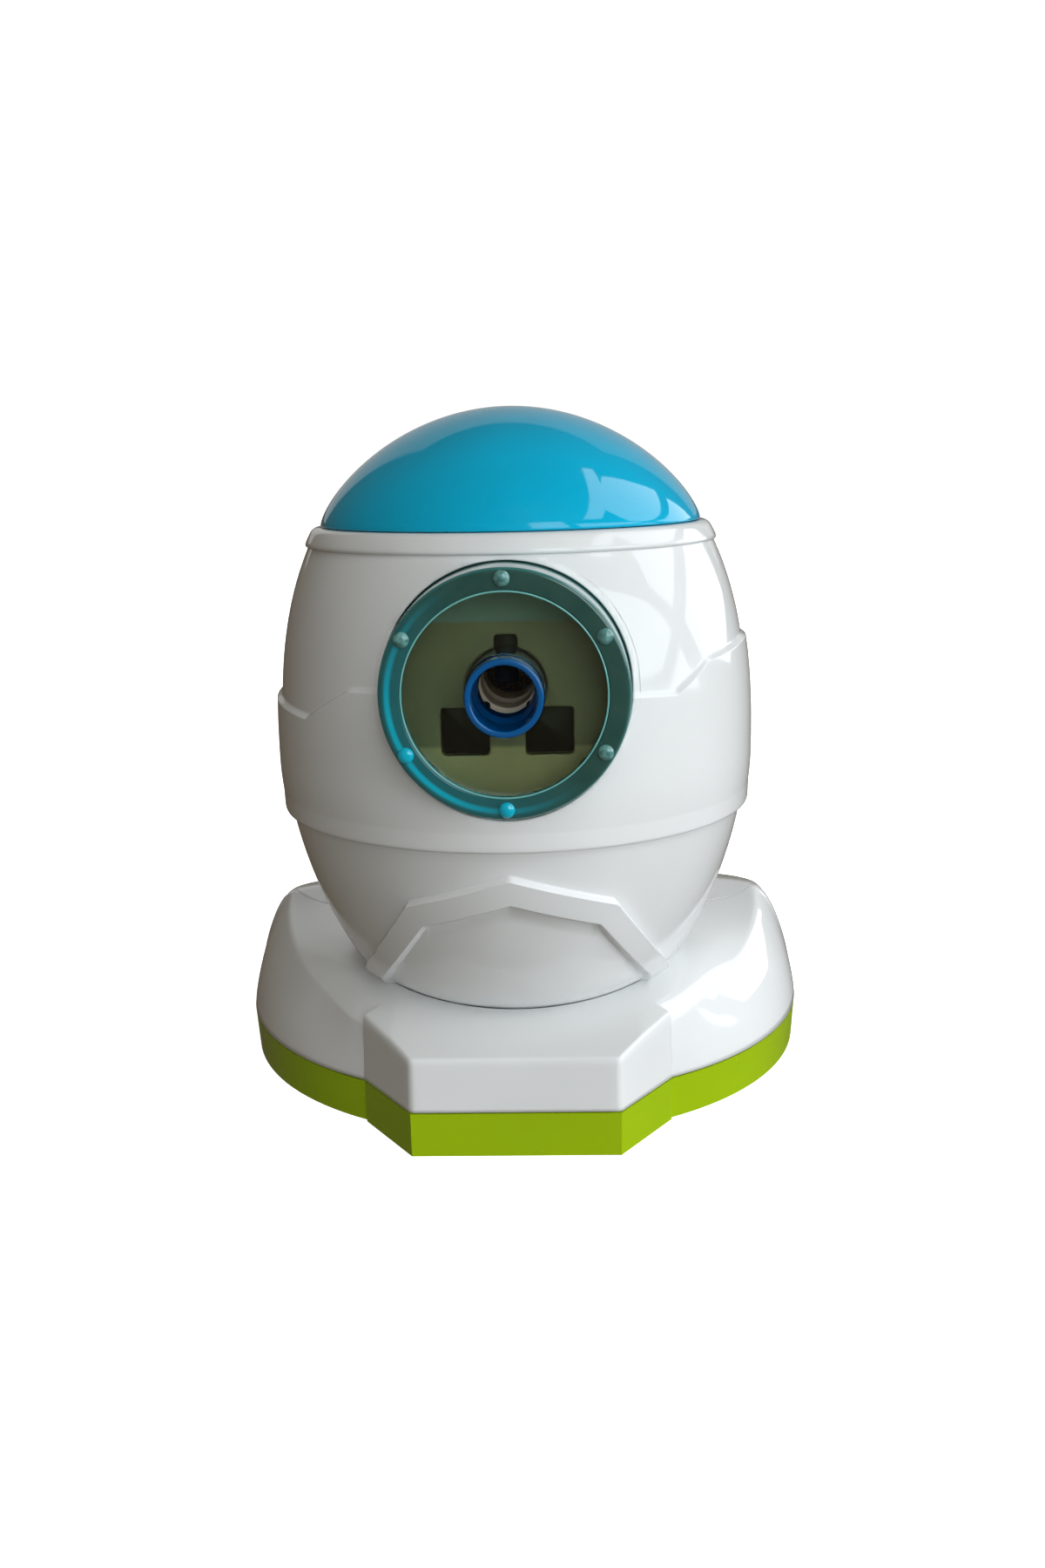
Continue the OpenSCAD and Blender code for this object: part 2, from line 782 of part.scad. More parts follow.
// Track that a jaw slides in, from closed to open
module jaw_track(angle, block) {
    for (shift = [0 : jaw_travel / 4 : jaw_travel]) {
        rotate(angle) jaw_outline(block, clear, shift);
        if (block) block_outline(angle, clear, shift);
    }
}

module jaw_carrier() {
    pin_room = jaw_pin_r + 0.2;
    color("tan")
    difference() {
        union() {
            rod_y(carrier_r, carrier_front, web_back);
            rod_y(hub_out_r, web_back - over, hub_back);
        }
        prism_y(carrier_front - over, web_front) {
            jaw_track(90, false);
            jaw_track(180 + jaw_angle, true);
            jaw_track(-jaw_angle, true);
            circle(r = 6.5);
        }
        prism_y(carrier_front - over, jaw_front) square([26, 21], center = true);
        for (a = [90, 180 + jaw_angle, -jaw_angle])
            prism_y(web_front - over, web_back + over) rotate(a) {
                translate([jaw_pin_d - 0.2, -pin_room]) square([jaw_travel + 0.4, 2 * pin_room]);
                translate([jaw_pin_d - 0.2, 0]) circle(r = pin_room);
                translate([jaw_pin_d + jaw_travel + 0.2, 0]) circle(r = pin_room);
            }
        rod_y(tube_exit_r, web_front - over, hub_back + over);
        for (side = [-1, 1]) rod_y(rod_r, rod_front, web_back + over, side * rod_x);
        translate([0, 0, axis_z]) rotate([-90, 0, 0]) difference() {
            translate([0, 0, clip_front - seam]) cylinder(r = hub_out_r + over, h = clip_t + 2 * seam);
            translate([0, 0, clip_front - over]) cylinder(r = hub_out_r - 0.6, h = clip_t + 2 * over);
        }
    }
}

// Middle of a cam slot, from t = 0 where the jaw is closed to t = 1 where it is open
function cam_path(angle, t) =
    (jaw_pin_d + jaw_travel * t) * [cos(angle + release_turn * t), sin(angle + release_turn * t)];

// Direction in which a cam slot runs
function cam_heading(angle, t) =
    let (d = cam_path(angle, t + 0.01) - cam_path(angle, t - 0.01)) atan2(d[1], d[0]);

// Slanted slot that moves a jaw's pin out as the ring turns
module cam_slot(angle) {
    steps = 8;
    cap = 6;
    room = jaw_pin_r + 0.2;
    sides = [for (i = [0 : steps]) let (t = i / steps, a = cam_heading(angle, t))
        [cam_path(angle, t) + room * [-sin(a), cos(a)], cam_path(angle, t) - room * [-sin(a), cos(a)]]];
    ends = [for (t = [1, 0]) [for (k = [1 : cap - 1])
        let (a = cam_heading(angle, t) + (t == 1 ? 90 : -90) - 180 * k / cap)
        cam_path(angle, t) + room * [cos(a), sin(a)]]];
    polygon(concat([for (p = sides) p[0]], ends[0],
        [for (i = [steps : -1 : 0]) sides[i][1]], ends[1]));
}

module release_ring() {
    color("gainsboro")
    difference() {
        prism_y(release_front, release_back) {
            circle(r = release_r);
            intersection() {
                translate([-thumb_w / 2, 0]) square([thumb_w, carrier_r]);
                circle(r = carrier_r - 0.2);
            }
        }
        rod_y(hub_out_r + run_fit, release_front - over, release_back + over);
        prism_y(release_front - over, release_back + over) {
            cam_slot(90);
            cam_slot(180 + jaw_angle);
            cam_slot(-jaw_angle);
        }
    }
}

module ring_clip() {
    color("silver")
    difference() {
        rod_y(hub_out_r + 1, clip_front, clip_front + clip_t);
        rod_y(hub_out_r - 0.6 + seam / 2, clip_front - over, clip_front + clip_t + over);
        translate([-2, clip_front - over, axis_z - 2 * hub_out_r])
            cube([4, clip_t + 2 * over, 2 * hub_out_r - 3]);
    }
}

module guide_rods() {
    color("silver")
    for (side = [-1, 1]) difference() {
        rod_y(rod_r, rod_front, rod_back, side * rod_x);
        difference() {
            rod_y(rod_r + over, rod_clip_front - seam / 2, rod_clip_front + rod_clip_t + seam / 2,
                side * rod_x);
            rod_y(rod_neck_r, rod_clip_front - over, rod_clip_front + 2 * over, side * rod_x);
        }
    }
}

module rod_clips() {
    color("dimgray")
    for (side = [-1, 1]) difference() {
        rod_y(rod_r + 0.8, rod_clip_front, rod_clip_front + rod_clip_t, side * rod_x);
        rod_y(rod_neck_r + seam / 4, rod_clip_front - over, rod_clip_front + 2 * over,
            side * rod_x);
        translate([side * rod_x - rod_neck_r, rod_clip_front - over, axis_z])
            cube([2 * rod_neck_r, rod_clip_t + 2 * over, 2 * rod_r]);
    }
}

module rod_bushes() {
    color("goldenrod")
    for (side = [-1, 1]) difference() {
        union() {
            rod_y(bush_r, front_plate - 0.6, front_plate_back + 0.8, side * rod_x);
            rod_y(bush_r + 0.8, front_plate - 0.6, front_plate - seam / 4, side * rod_x);
        }
        rod_y(rod_r + run_fit, front_plate - over - 0.6, front_plate_back + 2, side * rod_x);
    }
}

// Round plate with its screw holes, cut flat at its top
module bulkhead(y0, y1) {
    difference() {
        intersection() {
            rod_y(bulkhead_r, y0, y1);
            translate([-2 * bulkhead_r, y0 - over, 0])
                cube([4 * bulkhead_r, y1 - y0 + 2 * over, bulkhead_top]);
        }
        translate([0, 0, axis_z]) at_bosses() rod_y(screw_r + seam, y0 - over, y1 + over, 0, 0);
    }
}

module front_bulkhead() {
    color("lightgray")
    difference() {
        bulkhead(front_plate, front_plate_back);
        rod_y(guide_seat_r + seam / 4, front_plate - over, front_plate_back + over);
        for (side = [-1, 1])
            rod_y(bush_r + seam / 4, front_plate - over, front_plate_back + over, side * rod_x);
    }
}

module pencil_guide() {
    flange = front_plate - 0.7;
    color("wheat")
    turned([[guide_r + 1.4, flange], [guide_seat_r + 1.2, flange],
        [guide_seat_r + 1.2, front_plate - seam / 4], [guide_seat_r, front_plate - seam / 4],
        [guide_seat_r, front_plate_back], [guide_out_r, front_plate_back],
        [guide_out_r, guide_back], [guide_r, guide_back], [guide_r, front_plate + 2]]);
}

module rear_bulkhead() {
    color("lightgray")
    difference() {
        bulkhead(rear_plate, rear_plate_back);
        rod_y(ring_r + seam / 4, rear_plate - over, rear_plate_back + over);
    }
}

// Angle of an involute at pressure angle a
function involute(a) = tan(a) * 180 / PI - a;

// Outline of a gear: half the tooth's angle shrinks by slack at the pitch circle
function gear_points(teeth, addendum, dedendum, slack) =
    let (pitch = gear_module * teeth / 2, base = pitch * cos(pressure),
        tip = pitch + addendum, root = pitch - dedendum,
        half = 90 / teeth - slack * 180 / (PI * pitch) + involute(pressure),
        radii = [for (i = [0 : flank_steps]) max(base, root)
            + (tip - max(base, root)) * i / flank_steps],
        flank = [for (r = radii) [r, half - involute(acos(base / r))]])
    [for (t = [0 : teeth - 1]) let (a = 360 * t / teeth)
        each concat([root * [cos(a - half), sin(a - half)]],
            [for (p = flank) p[0] * [cos(a - p[1]), sin(a - p[1])]],
            [for (i = [flank_steps : -1 : 0])
                flank[i][0] * [cos(a + flank[i][1]), sin(a + flank[i][1])]],
            [root * [cos(a + half), sin(a + half)]])];

module ring_gear() {
    color("dimgray")
    difference() {
        union() {
            rod_y(ring_r, ring_front, ring_back);
            rod_y(ring_r + 1.6, rear_plate_back + seam / 4, ring_back);
        }
        prism_y(ring_front - over, ring_back + over)
            polygon(gear_points(ring_teeth, 1.4 * gear_module, 0.55 * gear_module, -gear_slack));
    }
}

// Frame of the tilted cutter: +Z runs forward along its axle from the gears
module on_cutter_axis() {
    translate([0, gear_y, axis_z + gear_offset]) rotate([90 - cutter_tilt, 0, 0]) children();
}

module cutter_cage() {
    color("silver")
    difference() {
        union() {
            rod_y(cage_r, disc_front, disc_back);
            rod_y(cage_disc_r, cage_front, cage_front_back);
            prism_y(cage_front_back - over, disc_front + over) intersection() {
                difference() {
                    circle(r = cage_r);
                    circle(r = cage_in_r);
                }
                translate([-2 * cage_r, -2 * cage_r - 1.7]) square([4 * cage_r, 2 * cage_r]);
            }
        }
        rod_y(guide_out_r + run_fit, cage_front - over, cage_front_back + over);
        on_cutter_axis() translate([0, 0, axle_back])
            cylinder(r = axle_r + seam / 4, h = axle_front - axle_back);
    }
}

module cutter_axle() {
    color("silver")
    on_cutter_axis() translate([0, 0, axle_back + seam])
        cylinder(r = axle_r, h = axle_front - axle_back - 2 * seam);
}

module helical_cutter() {
    points = [for (i = [0 : cutter_teeth - 1]) let (a = 360 * i / cutter_teeth, s = 360 / cutter_teeth)
        each [cutter_r * [cos(a), sin(a)], (cutter_r - 0.1) * [cos(a + s * 0.2), sin(a + s * 0.2)],
            (cutter_r - tooth_depth) * [cos(a + s * 0.6), sin(a + s * 0.6)],
            (cutter_r - tooth_depth) * [cos(a + s * 0.9), sin(a + s * 0.9)]]];
    color("slategray")
    on_cutter_axis() difference() {
        union() {
            translate([0, 0, cutter_start])
                linear_extrude(height = cutter_l, twist = cutter_twist, slices = 14)
                    polygon(points);
            translate([0, 0, pinion_w / 2]) cylinder(r = axle_r + 1.6, h = cutter_start);
        }
        translate([0, 0, -over]) cylinder(r = axle_r + run_fit, h = cutter_l + 3 * cutter_start);
    }
}

module cutter_pinion() {
    color("goldenrod")
    on_cutter_axis() translate([0, 0, -pinion_w / 2]) difference() {
        linear_extrude(height = pinion_w)
            polygon(gear_points(pinion_teeth, 0.8 * gear_module, 1.2 * gear_module, gear_slack));
        translate([0, 0, -over]) cylinder(r = axle_r + run_fit, h = pinion_w + 2 * over);
    }
}

module crank_shaft() {
    color("silver")
    difference() {
        union() {
            rod_y(shaft_r, disc_back, arm_back);
            rod_y(cage_r - 2, disc_back, disc_back + shaft_flange_t);
        }
        rod_y(boss_hole_r, arm_back - 9, arm_back + over);
    }
}

module rear_bush() {
    color("goldenrod")
    difference() {
        union() {
            rod_y(rear_bush_r, bush_front, boss_face + bush_flange_t);
            rod_y(rear_bush_r + 1.5, boss_face, boss_face + bush_flange_t);
        }
        rod_y(shaft_r + run_fit, bush_front - over, boss_face + bush_flange_t + over);
    }
}

module crank_arm() {
    color("white")
    difference() {
        union() {
            rod_y(hub_r, arm_front, hub_face);
            rod_y(arm_end_r, arm_front, arm_back, 0, knob_z);
            prism_y(arm_front, arm_back, knob_z)
                polygon([[-arm_end_r, 0], [-hub_r + 0.8, crank_l - 2], [hub_r - 0.8, crank_l - 2],
                    [arm_end_r, 0]]);
        }
        rod_y(shaft_r + seam / 4, arm_front - over, arm_back);
        rod_y(screw_r + seam, arm_back - over, hub_face + over);
        rod_y(pin_r + seam / 4, arm_front - over, arm_back + over, 0, knob_z);
    }
}

module crank_screw() {
    color("silver")
    screw_y(0, hub_face + screw_head_h, axis_z, 8, -1);
}

module knob_pin() {
    head = knob_back - pin_head_t;
    color("silver") {
        rod_y(pin_r, arm_front, head + 0.4, 0, knob_z);
        rod_y(pin_r + 1.8, head + 0.4, knob_back, 0, knob_z);
    }
}

module crank_knob() {
    head = knob_back - pin_head_t;
    grip = knob_r - 1.2;
    color("deepskyblue")
        turned([[pin_r + run_fit, knob_front], [knob_r - 2, knob_front], [knob_r - 0.4, knob_front + 1.4],
            [knob_r - 0.6, knob_front + 4], [grip, knob_front + 8], [grip + 0.3, knob_front + 13],
            [knob_r - 0.2, knob_front + 18], [knob_r, knob_back - 6], [knob_r - 0.8, knob_back - 2.4],
            [knob_r - 2.4, knob_back], [pin_r + 1.8 + clear, knob_back], [pin_r + 1.8 + clear, head + 0.1],
            [pin_r + run_fit, head + 0.1]], 0, knob_z);
}

module bulkhead_screws() {
    color("silver")
    translate([0, 0, axis_z]) at_bosses() {
        screw_y(0, front_plate_back + screw_head_h, 0, bulkhead_t + 6, -1);
        screw_y(0, rear_plate - screw_head_h, 0, bulkhead_t + 6, 1);
    }
}

module shell_screws() {
    color("silver")
    for (side = [-1, 1])
        screw_y(side * shell_screw_x, 12 + screw_head_h, shell_screw_z, 18, -1);
}

module body_screws() {
    color("silver")
    for (x = [-post_x, post_x], y = [-post_y, post_y])
        translate([x, y, 0.6]) screw(lug_top - screw_head_h - 1.6);
}

module base_screws() {
    color("silver")
    for (p = cover_bosses)
        translate([p[0], p[1], 0.6]) screw(rim_h + 2);
}

egg_front_shell();
egg_rear_shell();
dome_cap();
base_front_cover();
base_rear_cover();
base_plate();
foot_pads();
shavings_drawer();
window_plate();
pencil_tube();
jaw_carrier();
release_ring();
ring_clip();
top_jaw();
left_jaw();
right_jaw();
guide_rods();
rod_clips();
rod_bushes();
front_bulkhead();
pencil_guide();
rear_bulkhead();
ring_gear();
cutter_cage();
cutter_axle();
helical_cutter();
cutter_pinion();
crank_shaft();
rear_bush();
crank_arm();
crank_screw();
knob_pin();
crank_knob();
bulkhead_screws();
shell_screws();
body_screws();
base_screws();
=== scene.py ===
import math

import bmesh
import bpy
from mathutils import Matrix, Vector


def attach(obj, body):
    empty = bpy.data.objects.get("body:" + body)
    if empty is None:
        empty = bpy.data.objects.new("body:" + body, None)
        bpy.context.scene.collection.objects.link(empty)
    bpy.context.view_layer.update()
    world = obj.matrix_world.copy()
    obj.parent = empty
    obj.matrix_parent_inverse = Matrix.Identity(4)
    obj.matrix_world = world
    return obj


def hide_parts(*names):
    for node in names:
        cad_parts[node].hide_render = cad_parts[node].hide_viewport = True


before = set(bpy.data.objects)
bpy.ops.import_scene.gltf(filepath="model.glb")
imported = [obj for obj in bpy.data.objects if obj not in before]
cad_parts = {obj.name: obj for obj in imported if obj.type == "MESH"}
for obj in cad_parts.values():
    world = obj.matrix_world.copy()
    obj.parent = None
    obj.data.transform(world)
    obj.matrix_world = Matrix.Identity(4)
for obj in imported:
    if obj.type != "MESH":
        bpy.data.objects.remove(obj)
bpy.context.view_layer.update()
scene = bpy.context.scene
mm = 0.001
axisHeight = 78.4  # height of the pencil and crank axis
baseMiddle = 22.6  # the base's round part is centred this far behind the body's axis
print("frame loaded")


# camera
lookFrom = {"place": (9.079, -256.570, 114.230), "yaw": -0.0319, "down": 0.2673, "roll": -0.0220,  # mm, radians
            "focal": 1647.73, "middleRow": 966.63, "rows": 1800,  # pixels
            "sensor": 36}  # mm


def placeCamera(view):
    yaw, down, roll = view["yaw"], view["down"], view["roll"]
    ahead = Vector((math.sin(yaw) * math.cos(down), math.cos(yaw) * math.cos(down), -math.sin(down)))
    right = Vector((math.cos(yaw), -math.sin(yaw), 0))
    up = right.cross(ahead)
    across = right * math.cos(roll) + up * math.sin(roll)
    upward = up * math.cos(roll) - right * math.sin(roll)
    data = bpy.data.cameras.new("camera")
    camera = bpy.data.objects.new("camera", data)
    scene.collection.objects.link(camera)
    turn = Matrix((across, upward, -ahead)).transposed().to_4x4()
    camera.matrix_world = Matrix.Translation(Vector(view["place"]) * mm) @ turn
    data.sensor_fit = "VERTICAL"
    data.sensor_height = view["sensor"]
    data.lens = view["focal"] / view["rows"] * view["sensor"]
    data.shift_y = (view["middleRow"] - view["rows"] / 2) / view["rows"]
    data.clip_start, data.clip_end = 0.01, 20
    scene.camera = camera


placeCamera(lookFrom)
print("camera placed")


# finishes
class Wire:  # a node's output that takes part in sums
    def __init__(self, finish, socket):
        self.finish = finish
        self.socket = socket

    def maths(self, operation, other, swapped=False):
        pair = (other, self) if swapped else (self, other)
        return self.finish.node("ShaderNodeMath", {"operation": operation}, {0: pair[0], 1: pair[1]})

    def __add__(self, other):
        return self.maths("ADD", other)

    def __radd__(self, other):
        return self.maths("ADD", other, True)

    def __sub__(self, other):
        return self.maths("SUBTRACT", other)

    def __rsub__(self, other):
        return self.maths("SUBTRACT", other, True)

    def __mul__(self, other):
        return self.maths("MULTIPLY", other)

    def __rmul__(self, other):
        return self.maths("MULTIPLY", other, True)

    def __truediv__(self, other):
        return self.maths("DIVIDE", other)

    def __rtruediv__(self, other):
        return self.maths("DIVIDE", other, True)

    def __pow__(self, other):
        return self.maths("POWER", other)


class Finish:  # one material, its shader and the nodes that feed it
    def __init__(self, name, **constants):
        self.material = bpy.data.materials.new(name)
        self.material.use_nodes = True
        self.tree = self.material.node_tree
        self.shader = self.tree.nodes["Principled BSDF"]
        for socket, value in constants.items():
            self.shader.inputs[socket.replace("_", " ")].default_value = value
        self.place = self.node("ShaderNodeTexCoord", {}, {}, "Object")

    def node(self, kind, settings, values, output=0):
        made = self.tree.nodes.new(kind)
        for key, value in settings.items():
            setattr(made, key, value)
        for key, value in values.items():
            if isinstance(value, Wire):
                self.tree.links.new(value.socket, made.inputs[key])
            else:
                made.inputs[key].default_value = value
        return Wire(self, made.outputs[output])

    def noise(self, grain, detail=3, rough=0.5, stretch=(1, 1, 1)):  # grain is the size in mm
        moved = self.node("ShaderNodeMapping", {}, {"Vector": self.place, "Scale": stretch})
        return self.node("ShaderNodeTexNoise", {}, {"Vector": moved, "Scale": 1 / (grain * mm), "Detail": detail,
                                                    "Roughness": rough})

    def ramped(self, wire, start, end, low=0, high=1):  # low at start, high at end, level past them
        return self.node("ShaderNodeMapRange", {}, {"Value": wire, "From Min": start, "From Max": end,
                                                    "To Min": low, "To Max": high})

    def spread(self, wire, low, high):  # a noise's middle range spread to low..high
        return self.ramped(wire, 0.3, 0.7, low, high)

    def along(self, axis):  # how far the surface's point is along an axis, in mm
        return self.node("ShaderNodeSeparateXYZ", {}, {0: self.place}, axis) * 1000

    def mixed(self, factor, first, second):
        pair = [tone if isinstance(tone, Wire) else (*tone, 1) for tone in (first, second)]
        return self.node("ShaderNodeMix", {"data_type": "RGBA"}, {0: factor, 6: pair[0], 7: pair[1]}, 2)

    def feed(self, socket, wire):
        self.tree.links.new(wire.socket, self.shader.inputs[socket])

    def bump(self, height, depth, strength=1.0):
        made = self.node("ShaderNodeBump", {}, {"Height": height, "Distance": depth * mm, "Strength": strength})
        self.feed("Normal", made)


def mouldedPlastic(name, colour, shade, rough, skin=0.004, **constants):
    finish = Finish(name, IOR=1.5, **constants)
    cloud = finish.noise(24, 2)
    fine = finish.noise(0.9, 2)
    finish.feed("Base Color", finish.mixed(finish.spread(cloud, 0, 1), colour, shade))
    scuffs = finish.spread(finish.noise(5, 4, 0.7), 0, 1) ** 3
    finish.feed("Roughness", scuffs * 0.05 + fine * 0.03 + rough)
    flow = finish.noise(9, 1)
    finish.bump(flow * 6 + fine, skin)
    return finish.material


def turnedMetal(name, colour, shade, rough, stretch, **constants):
    finish = Finish(name, Metallic=1.0, **constants)
    lines = finish.noise(1.2, 4, 0.6, stretch)
    stain = finish.noise(7, 3)
    finish.feed("Base Color", finish.mixed(finish.spread(stain, 0, 1), colour, shade))
    finish.feed("Roughness", finish.spread(lines, rough - 0.05, rough + 0.09))
    finish.bump(lines, 0.004)
    return finish.material


def clearTint(name, colour, shade):
    finish = Finish(name, IOR=1.49, Transmission_Weight=1.0, Specular_IOR_Level=0.2)
    finish.feed("Base Color", finish.mixed(finish.spread(finish.noise(14, 2), 0, 1), colour, shade))
    finish.feed("Roughness", finish.spread(finish.noise(3, 3), 0.01, 0.035))
    finish.bump(finish.noise(12, 1), 0.006)
    return finish.material


# the lit, side and glowing-line colours are painted glow standing in for light the clear rim gathers; dark and pale
# are the rim's own tone
rimLook = {"dark": (0.020, 0.075, 0.066), "pale": (0.040, 0.105, 0.085), "lit": (0.0, 0.20, 0.25),
           "side": (0.05, 0.24, 0.23), "sideStart": (18.7, 19.1), "paintedStreak": (0.0, 0.46, 0.62), "paintedStreakRadius": 17.75,
           "paintedStreakHalf": (0.2, 0.6), "litTowards": (-0.85, -0.55)}


def rimTintAndPaintedGlow():  # the pane's thick rim gathers light at its lower left, as clear plastic does; that glow, a glowing line round the rim and a lighter outer side are painted into its colour
    finish = Finish("tealRimPaintedGlow", IOR=1.49, Coat_Weight=0.6, Coat_Roughness=0.03)
    across, high = finish.along("X"), finish.along("Z") - axisHeight
    reach = (across * across + high * high) ** 0.5
    towardsX, towardsZ = rimLook["litTowards"]
    # painted glow, strongest towards the lower left
    glow = finish.ramped((across * towardsX + high * towardsZ) / reach, -0.2, 0.95)
    aside = finish.node("ShaderNodeMath", {"operation": "ABSOLUTE"}, {0: reach - rimLook["paintedStreakRadius"]})
    paintedStreak = finish.ramped(aside, *rimLook["paintedStreakHalf"], 1, 0)
    cloud = finish.spread(finish.noise(5, 3), 0, 1)
    tone = finish.mixed(cloud * 0.6, rimLook["dark"], rimLook["pale"])
    tone = finish.mixed(glow * 0.45, tone, rimLook["lit"])
    # painted lighter teal on the rim's outer side, for the glow clear plastic shows on its edge
    tone = finish.mixed(finish.ramped(reach, *rimLook["sideStart"]) * 0.8, tone, rimLook["side"])
    # a painted glowing line round the rim, at its lower left
    finish.feed("Base Color", finish.mixed(glow * glow * paintedStreak * 0.85, tone, rimLook["paintedStreak"]))
    finish.feed("Roughness", finish.spread(finish.noise(3, 3), 0.03, 0.08))
    finish.bump(finish.noise(6, 2), 0.02)
    return finish.material


# foot is a painted light along the carrier front's lower edge, not its own colour
faceLook = {"beige": (0.50, 0.40, 0.27), "shade": (0.44, 0.37, 0.26), "cool": (0.42, 0.60, 0.64),
            "coolFrom": (88.4, 89.0), "foot": (1.0, 0.74, 0.46), "paintedLightFrom": (69.3, 68.7)}  # heights in mm


def faceTintWithPaintedLight():  # the carrier's front is beige and cooler above, with a painted light along its foot where the rim shades it
    finish = Finish("carrierFacePaintedLight", IOR=1.5)
    high = finish.along("Z")
    cloud = finish.spread(finish.noise(9, 2), 0, 1)
    tone = finish.mixed(cloud * 0.5, faceLook["beige"], faceLook["shade"])
    tone = finish.mixed(finish.ramped(high, *faceLook["coolFrom"]) * 0.8, tone, faceLook["cool"])
    # painted light along the foot
    finish.feed("Base Color", finish.mixed(finish.ramped(high, *faceLook["paintedLightFrom"]), tone, faceLook["foot"]))
    finish.feed("Roughness", finish.spread(finish.noise(2, 3), 0.3, 0.42))
    finish.bump(finish.noise(4, 2), 0.01)
    return finish.material


# lit is a painted glow on the studs at the lower left; dark and pale are their own tone
studLook = {"dark": (0.05, 0.16, 0.15), "pale": (0.16, 0.38, 0.36), "lit": (0.0, 0.45, 0.62),
            "litTowards": (-0.6, -0.8), "litFrom": (6, 13)}


def studTintAndPaintedGlow():  # clear studs with a painted glow at the lower left
    finish = Finish("tealStudPaintedGlow", IOR=1.49, Coat_Weight=1.0, Coat_Roughness=0.02)
    across, high = finish.along("X"), finish.along("Z") - axisHeight
    towardsX, towardsZ = studLook["litTowards"]
    glow = finish.ramped(across * towardsX + high * towardsZ, *studLook["litFrom"])
    cloud = finish.spread(finish.noise(0.8, 2), 0, 1)
    tone = finish.mixed(cloud, studLook["dark"], studLook["pale"])
    # painted glow mixed in towards the lower left
    finish.feed("Base Color", finish.mixed(glow, tone, studLook["lit"]))
    finish.feed("Roughness", finish.spread(finish.noise(2, 3), 0.02, 0.06))
    finish.bump(finish.noise(0.9, 2), 0.05)
    return finish.material


# a thin bead on the pane's inner edge, coloured light teal as a painted highlight of that edge
beadPaintedHighlight = mouldedPlastic("beadTealPaintedHighlight", (0.16, 0.46, 0.44), (0.20, 0.55, 0.52), 0.05, 0.004, Coat_Weight=0.5)
finishes = {
    "white_plastic": mouldedPlastic("whiteShell", (0.77, 0.78, 0.78), (0.74, 0.75, 0.75), 0.03, 0.002),
    "blue_plastic": mouldedPlastic("skyBlue", (0.0, 0.42, 0.66), (0.0, 0.40, 0.63), 0.04, 0.002),
    "lime_plastic": mouldedPlastic("limeGreen", (0.34, 0.51, 0.004), (0.32, 0.48, 0.004), 0.22, 0.006),
    "rubber": mouldedPlastic("padRubber", (0.03, 0.03, 0.032), (0.022, 0.022, 0.024), 0.7, 0.02),
    "drawer_plastic": mouldedPlastic("drawerWhite", (0.74, 0.75, 0.75), (0.70, 0.71, 0.71), 0.25, 0.006),
    "teal_window": clearTint("tealWindow", (0.58, 0.70, 0.58), (0.56, 0.68, 0.56)),
    "blue_tube": mouldedPlastic("deepBlueTube", (0.0, 0.10, 0.32), (0.0, 0.085, 0.28), 0.14, Coat_Weight=0.4,
                                Coat_Roughness=0.05),
    # a lighter beige than the carrier's front, painted lighter so the shaded bore behind the pencil tube reads
    # brighter
    "carrier_plastic": mouldedPlastic("carrierBeigePaintedLighter", (0.80, 0.69, 0.52), (0.76, 0.65, 0.48), 0.35, 0.01),
    "black_jaw": mouldedPlastic("jawBlack", (0.006, 0.007, 0.008), (0.012, 0.012, 0.012), 0.45, 0.012,
                                Specular_IOR_Level=0.25),
    "grey_plastic": mouldedPlastic("innerGrey", (0.25, 0.26, 0.26), (0.21, 0.22, 0.22), 0.4, 0.01),
    "steel": turnedMetal("brightSteel", (0.60, 0.61, 0.62), (0.48, 0.49, 0.50), 0.26, (6, 0.4, 6)),
    "brass": turnedMetal("bushBrass", (0.70, 0.50, 0.20), (0.58, 0.40, 0.15), 0.3, (1, 8, 1)),
}

nodeFinish = {
    "egg_front_shell": "white_plastic", "egg_rear_shell": "white_plastic", "base_front_cover": "white_plastic",
    "base_rear_cover": "white_plastic", "crank_arm": "white_plastic", "dome_cap": "blue_plastic",
    "crank_knob": "blue_plastic", "base_plate": "lime_plastic", "foot_pads": "rubber",
    "shavings_drawer": "drawer_plastic", "window_plate": "teal_window", "pencil_tube": "blue_tube",
    "pencil_guide": "carrier_plastic", "jaw_carrier": "carrier_plastic", "front_bulkhead": "carrier_plastic",
    "top_jaw": "black_jaw", "left_jaw": "black_jaw", "right_jaw": "black_jaw", "release_ring": "grey_plastic",
    "rear_bulkhead": "grey_plastic", "ring_gear": "grey_plastic", "rod_bushes": "brass", "rear_bush": "brass",
}  # the rest are steel
for name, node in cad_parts.items():
    finish = finishes[nodeFinish.get(name, "steel")]
    if not node.data.materials:
        node.data.materials.append(finish)
    for slot in node.material_slots:
        slot.material = finish
print("finishes made")


# shape helpers
def softStep(t):
    t = min(max(t, 0.0), 1.0)
    return t * t * (3 - 2 * t)


def between(x, table):  # straight lines through a table of (x, value), held level past its ends
    if x <= table[0][0]:
        return table[0][1]
    for (xa, va), (xb, vb) in zip(table, table[1:]):
        if x <= xb:
            return va + (vb - va) * (x - xa) / (xb - xa)
    return table[-1][1]


